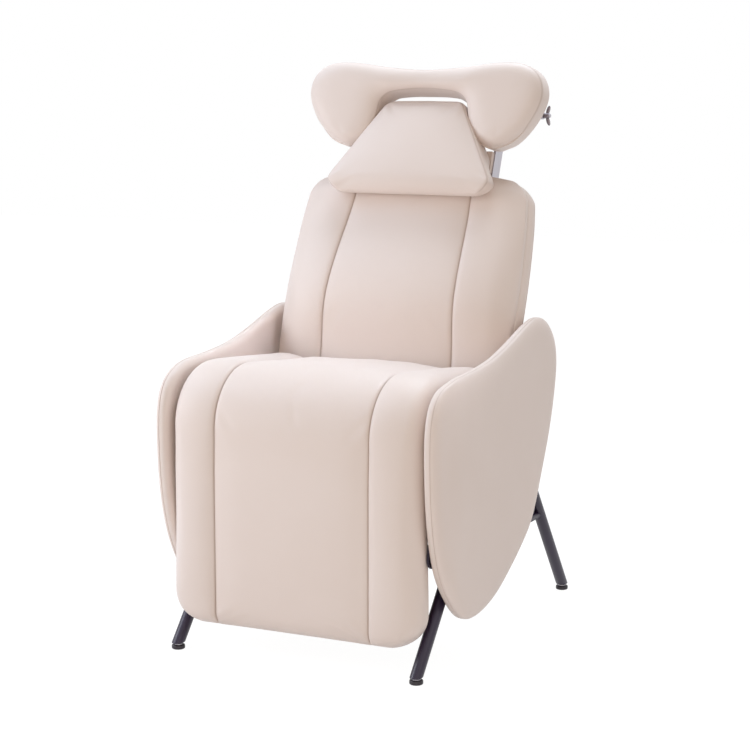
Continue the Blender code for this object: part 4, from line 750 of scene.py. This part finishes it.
petal = evened(smooth_path(PANEL_EDGE, 260, closed=True), 12)
along_petal = evened(np.roll(petal, -1, axis=0) - np.roll(petal, 1, axis=0), 6)
into_petal = np.stack([along_petal[:, 1], -along_petal[:, 0]], axis=1)
into_petal = into_petal / np.linalg.norm(along_petal, axis=1)[:, None]
print("petal outline from", petal.min(0), "to", petal.max(0))

# %% Side panels: the surface
PANEL_INNER_X = 0.2826
PANEL_THICK = 0.0330
PANEL_STRIP = 0.0170
INNER_ROUND, INNER_REACH = 0.0110, 0.016
OUTER_ROLL = 0.040
PANEL_TOE_IN, PANEL_TOE_Y = 0.0034, (-0.295, -0.350)  # the front edges stand a little closer together


def petal_rings():
    """Rings as (distance in, share of the way out from the middle, height off the inner face)."""
    a = np.linspace(0, np.pi / 2, 9)
    rings = [(INNER_REACH, s, 0.0) for s in (0.0, 0.25, 0.5, 0.75, 0.92)]
    rings += [(INNER_REACH * (1 - math.sin(b)), 1, INNER_ROUND * (1 - math.cos(b))) for b in a]
    strip = PANEL_STRIP - INNER_ROUND
    rings += [(0.0, 1, INNER_ROUND + strip * s) for s in (0.3, 0.6, 0.82)]
    rings += [(0.0003, 1, PANEL_STRIP - 0.0006), (0.0011, 1, PANEL_STRIP), (0.0004, 1, PANEL_STRIP + 0.0007)]
    rise = PANEL_THICK - PANEL_STRIP - 0.001
    rings += [(OUTER_ROLL * (1 - math.cos(b)) ** 1.15, 1, PANEL_STRIP + 0.001 + 0.90 * rise * math.sin(b))
              for b in a]
    rings += [(OUTER_ROLL, s, PANEL_THICK - 0.10 * rise * s ** 2) for s in np.linspace(0.94, 0.0, 18)]
    return [np.array(values)[:, None] for values in zip(*rings)]


def side_panel(sign):
    """Petal rings: (outline + in * normal) drawn to the middle by the share and lifted off the inner face.
    Near the front edge all of it stands a little further in."""
    inward, share, height = petal_rings()
    ring = petal[None] + into_petal[None] * inward[..., None]
    flat = PANEL_MIDDLE + (ring - PANEL_MIDDLE) * share[..., None]
    x = sign * (PANEL_INNER_X + height - PANEL_TOE_IN * smooth_step(flat[..., 0], *PANEL_TOE_Y))
    seam = 0.55 * stitch(height - PANEL_STRIP, 0.0007) * (share > 0.99) + 0 * ring[..., 0]
    return np.concatenate([x[..., None], flat], axis=2), seam


for side, sign in SIDES:
    panel_points, panel_seam = side_panel(sign)
    rows, columns = panel_points.shape[:2]
    panel = mesh_piece(f"side_cushion_{side}", panel_points, grid_quads(rows, columns, True), BLUSH,
                       SOFT_TURN, seam=panel_seam)
    place_piece(panel, "faux_leather", "base", f"side_panel_{side}")

# %% [markdown]
# ## Neck pillow
# A wedge of foam with a round bolster at its foot. It is wide below and narrow above, and its ends are
# narrow caps, joined to the front by a seam that follows the edge. It slides up the back with the posts,
# so its rear stands clear of the cushion below and leans on its own board above.

# %% Neck pillow
PILLOW_LOW, PILLOW_HIGH = 0.4375, 0.6560
PILLOW_SHIFT = 0.003  # it never sits quite in the middle
PILLOW_HALF_WIDTH, PILLOW_NARROWING = 0.1935, 0.1085
PILLOW_LOW_CORNER, PILLOW_LOW_ROUND, PILLOW_LOW_REACH = 0.046, 0.036, 0.040
PILLOW_HIGH_CORNER, PILLOW_HIGH_ROUND, PILLOW_HIGH_REACH, PILLOW_HIGH_LEAST = 0.016, 0.026, 0.024, 0.12
PILLOW_REAR, PILLOW_STEP, PILLOW_STEP_UP = -0.0500, 0.0410, (0.493, 0.545)  # the step clears the cushion
PILLOW_FRONT, PILLOW_SLOPE = -0.0965, 0.0325
PILLOW_EDGE, PILLOW_CROWN = 0.010, 0.0105
PILLOW_SEAM_IN, PILLOW_SEAM_WIDTH, PILLOW_GROOVE, PILLOW_FADE = 0.0030, 0.0011, 0.0012, 0.012


def neck_pillow():
    """Loops up the pillow, between a rear line and a front line that meet in half an ellipse below."""
    up = crowded_rows(PILLOW_LOW, PILLOW_HIGH, PILLOW_LOW_REACH, PILLOW_HIGH_REACH, 20, 34)
    share = (up - PILLOW_LOW) / (PILLOW_HIGH - PILLOW_LOW)
    above_low, below_high = up - PILLOW_LOW, PILLOW_HIGH - up
    narrowing = np.clip((share - 0.12) / 0.88, 0, 1)
    corners = corner_loss(above_low, PILLOW_LOW_CORNER) + corner_loss(below_high, PILLOW_HIGH_CORNER)
    width = column(PILLOW_HALF_WIDTH - PILLOW_NARROWING * narrowing - corners)
    rear = PILLOW_REAR + PILLOW_STEP * smooth_step(up, *PILLOW_STEP_UP)
    front = PILLOW_FRONT + PILLOW_SLOPE * share
    full = np.minimum(shoulder(above_low, PILLOW_LOW_ROUND),
                      shoulder(below_high, PILLOW_HIGH_ROUND, PILLOW_HIGH_LEAST))
    depth = column(0.5 * (rear - front) * np.maximum(full, 0.02))
    edge = np.minimum(PILLOW_EDGE, 0.7 * depth)
    steps = np.sin(np.linspace(-np.pi / 2, np.pi / 2, 61))
    places = (width - edge) * steps
    top_x, top_t = half_loop(places, width, depth, edge, 1)
    low_x, low_t = half_loop(places, width, -depth, edge, -1)
    across = np.clip(top_x / width, -1, 1)
    crown = PILLOW_CROWN * (1 - across ** 2) * column(np.clip(np.sin(np.pi * share), 0, 1) ** 0.6)
    from_edge = width - np.abs(top_x)
    fade = column(smooth_step(above_low, 0.0, PILLOW_FADE))
    seam = 0.7 * stitch(from_edge - PILLOW_SEAM_IN, PILLOW_SEAM_WIDTH) * fade
    top_t = top_t + crown - PILLOW_GROOVE * seam
    x, t = joined(top_x, low_x), joined(top_t, low_t)
    points = on_back(x + PILLOW_SHIFT, column(up), column(0.5 * (rear + front)) - t)
    return sewn(points, seam, from_edge < PILLOW_SEAM_IN)


pillow = sewn_pad("neck_cushion", neck_pillow(), cap=0.005)
place_piece(pillow, "faux_leather", "headrest_carrier", "neck_pillow")

# %% [markdown]
# ## Headrest
# The headrest is an arch with two fat lobes. Its front panel bulges, a flat strip runs round its
# thickness, and the two meet in a seam. Under the arch the strip leans, so that it shows from the
# front. Each loop is a cut across the arch, from its inner edge to its outer edge, and the loops travel
# from one lobe's tip over the middle to the other's.

# %% Headrest: edges
HEAD_LEAN = math.radians(10)
HEAD_AXIS = BACK_HINGE + 0.652 * UP_BACK + 0.0255 * BEHIND_BACK
HEAD_UP = np.array([math.sin(HEAD_LEAN), math.cos(HEAD_LEAN)])
HEAD_BEHIND = np.array([math.cos(HEAD_LEAN), -math.sin(HEAD_LEAN)])
OUTER_EDGE = np.array([(176, -84), (216, -67), (254, -22), (273.5, 28), (263, 70), (226, 95), (168, 98),
                       (84, 88), (0, 83)]) / 1000
INNER_EDGE = np.array([(159, -84), (135, -73), (115.5, -46), (104, -14), (95, 10), (76, 24), (50, 28),
                       (24, 29), (0, 29)]) / 1000


def whole_arch(half_edge, count):
    """The half edge, mirrored: from the left lobe's tip over the middle to the right one's."""
    return smooth_path(np.concatenate([half_edge, half_edge[-2::-1] * (-1, 1)]), count, closed=False)


outer_arch, inner_arch = whole_arch(OUTER_EDGE, 161), whole_arch(INNER_EDGE, 161)
print("arch spans", outer_arch[:, 0].min(), "to", outer_arch[:, 0].max())

# %% Headrest: surface
HEAD_BACK, HEAD_RIM = -0.0402, -0.0835
HEAD_SWELL, HEAD_ROUND = 0.0265, 0.050
HEAD_EDGE, HEAD_REAR_EDGE, TIP_START = 0.0015, 0.014, 0.002
STRIP_LEAN, LEAN_REACH = 0.013, (0.06, 0.24)
HEAD_SEAM_IN, HEAD_SEAM_WIDTH, HEAD_HELD = 0.0016, 0.0010, 0.0012


def headrest():
    """Loops across the arch. The strip is 43 mm deep. From its seam the front rises as part of an
    ellipsoid: the square root of 1 less the squared shares of the way out to the side and to the tip."""
    middle = 0.5 * (outer_arch + inner_arch)
    across = outer_arch - inner_arch
    width = column(0.5 * np.linalg.norm(across, axis=1))
    across = across / (2 * width)
    reach = line_reach(middle)
    to_tip = column(np.minimum(reach, reach[-1] - reach))
    half = 0 * width + 0.5 * (HEAD_BACK - HEAD_RIM)
    steps = np.sin(np.linspace(-np.pi / 2, np.pi / 2, 41))
    top_x, top_t = half_loop((width - HEAD_EDGE) * steps, width, half, HEAD_EDGE + 0 * width, 1, count=4)
    rear_edge = np.minimum(HEAD_REAR_EDGE, 0.7 * width)
    low_x, low_t = half_loop((width - rear_edge) * steps, width, -half, rear_edge, -1, count=4)
    lean = STRIP_LEAN * smooth_step(to_tip, *LEAN_REACH)
    from_edge = width - np.abs(top_x)
    span = np.minimum(width, HEAD_ROUND)
    from_side = 1 - np.clip(from_edge / span, 0, 1)
    from_tip = 1 - np.clip((to_tip + TIP_START) / HEAD_ROUND, 0, 1)
    fullness = np.sqrt(np.clip(1 - from_side ** 2 - from_tip ** 2, 0, 1))
    top_t = top_t + HEAD_SWELL * np.sqrt(span / HEAD_ROUND) * fullness
    seam = 0.6 * stitch(np.minimum(from_edge, to_tip + TIP_START) - HEAD_SEAM_IN, HEAD_SEAM_WIDTH)
    top_x = top_x + lean * np.clip(-top_x / width, 0, 1)
    a, t = joined(top_x, low_x), joined(top_t, low_t)
    flat = middle[:, None, :] + across[:, None, :] * a[..., None]
    behind = 0.5 * (HEAD_BACK + HEAD_RIM) - t
    world = HEAD_AXIS + flat[..., 1:2] * HEAD_UP + behind[..., None] * HEAD_BEHIND
    return sewn(np.concatenate([flat[..., :1], world], axis=2), seam, from_edge < HEAD_HELD)


head = sewn_pad("headrest_cushion", headrest(), cap=0.006)
place_piece(head, "faux_leather", "headrest", "head_pad", "head_board")

# %% [markdown]
# ## Round bars
# Legs, stretchers and cross tubes are drawn steel tube. The CAD draws them with sixteen sides, which
# shows as facets, so each is drawn again as a ring of points carried along its line. A leg leans, but
# both its ends are cut level: each ring point slides along the leg until its height is that of the cut.
# A leg stands on a nylon glide, whose steel stem screws up into the tube.


# %% Bar helpers
def turned_piece(name, start, end, profile, material, sides=48, level=False):
    """A profile of (distance along, radius) pairs, turned about the line from start to end."""
    start, end = np.asarray(start, float), np.asarray(end, float)
    along = (end - start) / np.linalg.norm(end - start)
    first = np.cross(along, [1.0, 0.0, 0.0] if abs(along[0]) < 0.9 else [0.0, 0.0, 1.0])
    first /= np.linalg.norm(first)
    angle = np.linspace(0, 2 * np.pi, sides, endpoint=False)[:, None]
    ring = np.cos(angle) * first + np.sin(angle) * np.cross(along, first)
    if level:
        ring = ring - along * (ring[:, 2:] / along[2])
    reach, radius = (np.array(values)[:, None, None] for values in zip(*profile))
    points = start + along * reach + ring[None] * radius
    return mesh_piece(name, points, grid_quads(len(profile), sides, True), material)


def bar_profile(length, radius, lip):
    """A round bar with rounded ends: from the axis out, round the lip, along, and back to the axis."""
    turn = np.linspace(0, np.pi / 2, 5)
    near = [(lip * (1 - math.sin(a)), radius - lip * (1 - math.cos(a))) for a in turn[::-1]]
    far = [(length - d, r) for d, r in near[::-1]]
    return [(0.0, 0.0)] + near + far + [(length, 0.0)]


def bar(name, start, end, radius, lip, material, sides=48, level=False):
    """A round bar from start to end."""
    length = np.linalg.norm(np.subtract(end, start))
    return turned_piece(name, start, end, bar_profile(length, radius, lip), material, sides, level)


print("a bar's profile has", len(bar_profile(0.4, 0.0125, 0.0015)), "rings")

# %% Legs and glides
LEGS = {"front": (-0.384, -0.070), "rear": (0.3885, 0.115)}  # y at the foot and at the top
HALF_TRACK, LEG_FOOT_Z, LEG_TOP_Z = 0.265, 0.013, 0.3747
TUBE_RADIUS, TUBE_LIP = 0.0125, 0.0015
GLIDE_PROFILE = [(0.0, 0.0), (0.0, 0.0115), (0.0012, 0.0132), (0.0030, 0.0135), (0.0066, 0.0135),
                 (0.0082, 0.0128), (0.0090, 0.0112), (0.0090, 0.0)]
STEM_PROFILE = [(0.0088, 0.0), (0.0088, 0.0086), (0.0108, 0.0086), (0.0112, 0.0080), (0.0112, 0.0040),
                (0.0205, 0.0040), (0.0205, 0.0)]
for end, (foot_y, top_y) in LEGS.items():
    for side, sign in SIDES:
        x = sign * HALF_TRACK
        leg = bar(f"{end}_tube_{side}", (x, foot_y, LEG_FOOT_Z), (x, top_y, LEG_TOP_Z), TUBE_RADIUS, TUBE_LIP,
                  COATED, level=True)
        place_piece(leg, "black_steel", "base", f"{end}_leg_{side}")
        floor_point, above = (x, foot_y, 0.0), (x, foot_y, 1.0)
        glide = f"{end}_glide_{side}"
        foot = turned_piece(f"{end}_glide_foot_{side}", floor_point, above, GLIDE_PROFILE, NYLON)
        place_piece(foot, "black_plastic", glide, glide)
        stem = turned_piece(f"{end}_glide_stem_{side}", floor_point, above, STEM_PROFILE, BRIGHT, sides=32)
        place_piece(stem, "bright_steel", glide)

# %% Stretchers and cross tubes
CROSS_BARS = {"stretcher_left": (1, 0.008), "stretcher_right": (1, 0.008),
              "front_cross_tube": (0, 0.011), "rear_cross_tube": (0, 0.011)}  # axis and radius
CROSS_LIP = 0.0012
for node, (axis, radius) in CROSS_BARS.items():
    low, high = (np.array(corner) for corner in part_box(node))
    start, end = 0.5 * (low + high), 0.5 * (low + high)
    start[axis], end[axis] = low[axis], high[axis]
    crossing = bar(f"{node}_bar", start, end, radius, CROSS_LIP, COATED, sides=32)
    place_piece(crossing, "black_steel", "base", node)

# %% [markdown]
# ## Headrest hardware
# Behind the headrest two flat posts carry a tilt axle with a clamp sleeve and a wing nut at each end.
# The wing nut is cast: a round hub with two flared wings, which are flattened egg shapes.

# %% Axle, sleeves and wing nuts
AXLE_REACH, AXLE_RADIUS, SLEEVE_RADIUS, AXLE_LIP = 0.260, 0.004, 0.008, 0.001
WING_X, HUB_LENGTH, HUB_RADIUS, HUB_LIP = 0.245, 0.012, 0.0058, 0.0014
BLADE_OUT, BLADE_UP = 0.0095, 0.0115
BLADE_LENGTHWAYS, BLADE_SPREAD, BLADE_THICK = (0.0030, 0.0095), (0.0040, -0.0012), 0.0019


def on_axle(x):
    """The point of the tilt axle at this place across the chair."""
    return (x, *HEAD_AXIS)


def wing(name, sign, lift):
    """An egg: sin and cos of two angles, stretched along three directions. Two of these lie across and
    up; sign turns them to a side, and lift turns them up or down."""
    lat = np.linspace(0, np.pi, 17)[:, None, None]
    lon = np.linspace(0, 2 * np.pi, 28, endpoint=False)[None, :, None]
    lengthways, spread = (np.array([sign * out, 0, lift * up])
                          for out, up in (BLADE_LENGTHWAYS, BLADE_SPREAD))
    thick = np.array([0, BLADE_THICK, 0])
    egg = np.cos(lat) * lengthways + np.sin(lat) * (np.cos(lon) * spread + np.sin(lon) * thick)
    centre = np.array(on_axle(sign * (WING_X + BLADE_OUT))) + (0, 0, lift * BLADE_UP)
    return mesh_piece(name, egg + centre, grid_quads(17, 28, True), WING_METAL)


axle = bar("tilt_axle_bar", on_axle(-AXLE_REACH), on_axle(AXLE_REACH), AXLE_RADIUS, AXLE_LIP, BRIGHT,
           sides=24)
place_piece(axle, "bright_steel", "headrest_carrier", "tilt_axle")
for side, sign in SIDES:
    low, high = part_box(f"clamp_sleeve_{side}")
    sleeve = bar(f"clamp_sleeve_{side}_tube", on_axle(low[0]), on_axle(high[0]), SLEEVE_RADIUS, AXLE_LIP,
                 BRIGHT, sides=32)
    place_piece(sleeve, "bright_steel", "headrest_carrier", f"clamp_sleeve_{side}")
    nut = f"wing_nut_{side}"
    hub = bar(f"wing_hub_{side}", on_axle(sign * WING_X), on_axle(sign * (WING_X + HUB_LENGTH)), HUB_RADIUS,
              HUB_LIP, WING_METAL, sides=32)
    place_piece(hub, "bright_steel", nut, nut)
    for part, lift in (("upper", 1), ("lower", -1)):
        place_piece(wing(f"wing_{part}_{side}", sign, lift), "bright_steel", nut)

# %% [markdown]
# ## The frame's own finishes
# What stays of the CAD gets the same finishes: coated steel for the frame and the linkage, bright
# steel for the posts and the drive's rod, plywood for the boards, nylon for the drive, and leather for
# the board behind the neck pillow.

# %% Finishes on CAD nodes
FINISHES = {"black_steel": COATED, "bright_steel": BRIGHT, "plywood": BIRCH, "black_plastic": NYLON,
            "faux_leather": BLUSH}
for part in frame["record"]["subparts"]:
    mesh = frame["nodes"][part["node"]].data
    mesh.materials.clear()
    mesh.materials.append(FINISHES[part["material_slot"]])

# %% [markdown]
# ## Studio
# The photograph is a cut-out on white under soft light from above and from the left. One large soft
# lamp hangs over the chair, a cool one stands at the upper left, a third close by at the left, so that
# the light falls off across the leg pad, and two weak warm ones fill from the front and the right. A
# narrow beam from the right lifts the inside of the far panel, which would else lie in shade. The white
# surround does the rest. The floor takes the shadow; for the camera it also glows, so that it reads as
# white.


# %% Studio
def aimed(name, data, place, target):
    """A lamp or a camera at a place, turned towards a target."""
    made = new_object(name, data)
    made.location = place
    made.rotation_euler = (Vector(target) - Vector(place)).to_track_quat("-Z", "Y").to_euler()
    return made


def soft_lamp(name, place, target, size, power, colour, spread=180.0):
    """A round soft lamp. A small spread, in degrees, makes a beam of it."""
    data = bpy.data.lights.new(name, "AREA")
    data.shape = "DISK"
    data.spread = math.radians(spread)
    data.size = size
    data.energy = power
    data.color = linear(colour)[:3]
    aimed(name, data, place, target)


def seen_directly(tree):
    """1 for rays from the camera, mirrors and glass, 0 for the light that bounces."""
    path = add_node(tree, "LightPath")
    first = add_node(tree, "Math", [(path, "Is Camera Ray", None, 0), (path, "Is Glossy Ray", None, 1)],
                     operation="MAXIMUM")
    return add_node(tree, "Math", [(first, 0, None, 0), (path, "Is Transmission Ray", None, 1)],
                    operation="MAXIMUM")


world = bpy.data.worlds.new("studio")
scene.world = world
world.use_nodes = True
tree = world.node_tree
tree.nodes.clear()
white = add_node(tree, "Background", Color=linear("#ffffff"), Strength=1.0)
surround = add_node(tree, "Background", Color=linear("#fff5ec"), Strength=0.40)
choice = add_node(tree, "MixShader", [(seen_directly(tree), 0, None, 0), (surround, 0, None, 1),
                                      (white, 0, None, 2)])
add_node(tree, "OutputWorld", [(choice, 0, None, "Surface")])

soft_lamp("crown", (0.3, 1.0, 3.6), (0.0, -0.1, 0.5), 2.0, 78.0, "#e4f2ff")
soft_lamp("key", (-2.7, -0.85, 3.4), (0.0, -0.1, 0.6), 2.4, 36.0, "#c0dfff")
soft_lamp("left", (-1.9, -1.3, 1.2), (-0.1, -0.3, 0.5), 1.2, 22.0, "#f2f7ff")
soft_lamp("front", (1.6, -3.4, 1.0), (0.0, -0.2, 0.5), 2.2, 18.5, "#fff0d8")
soft_lamp("right", (2.4, -1.0, 1.6), (0.0, -0.1, 0.5), 1.2, 3.0, "#fff1e6")
soft_lamp("beam", (1.5, -0.75, 1.05), (-0.30, -0.08, 0.575), 0.3, 0.10, "#e6eeff", spread=15.0)

# %% Floor
FLOOR_GLOW, GLOW_SHARE = 1.13, 0.85
paper, tree, shader = new_material("white_paper", Base_Color=linear("#f4f2f1"), Roughness=0.9)
glow = add_node(tree, "Emission", Color=linear("#ffffff"), Strength=FLOOR_GLOW)
share = add_node(tree, "Math", [(seen_directly(tree), 0, None, 0)], operation="MULTIPLY")
share.inputs[1].default_value = GLOW_SHARE
add_node(tree, "MixShader", [(share, 0, None, 0), (shader, 0, None, 1), (glow, 0, None, 2),
                             (None, 0, tree.nodes["Material Output"], "Surface")])
corners = np.array([(-9, -9, 0), (9, -9, 0), (9, 9, 0), (-9, 9, 0)])
floor = mesh_piece("studio_floor", corners, np.array([[0, 1, 2, 3]]), paper, closed=False)

# %% [markdown]
# ## Camera
# The camera stands where the photograph's perspective puts it: in front, to the right and a little above,
# with a long lens. The feet, the panels and the pads gave its place.

# %% Camera
camera_data = bpy.data.cameras.new("photo_camera")
camera_data.sensor_fit = "HORIZONTAL"
camera_data.sensor_width = 36.0
camera_data.lens = 94.85
camera = aimed("photo_camera", camera_data, (1.797, -3.669, 1.163), (0.036, -0.097, 0.539))
scene.camera = camera
scene.view_settings.view_transform = "Standard"
print("camera", tuple(camera.location))
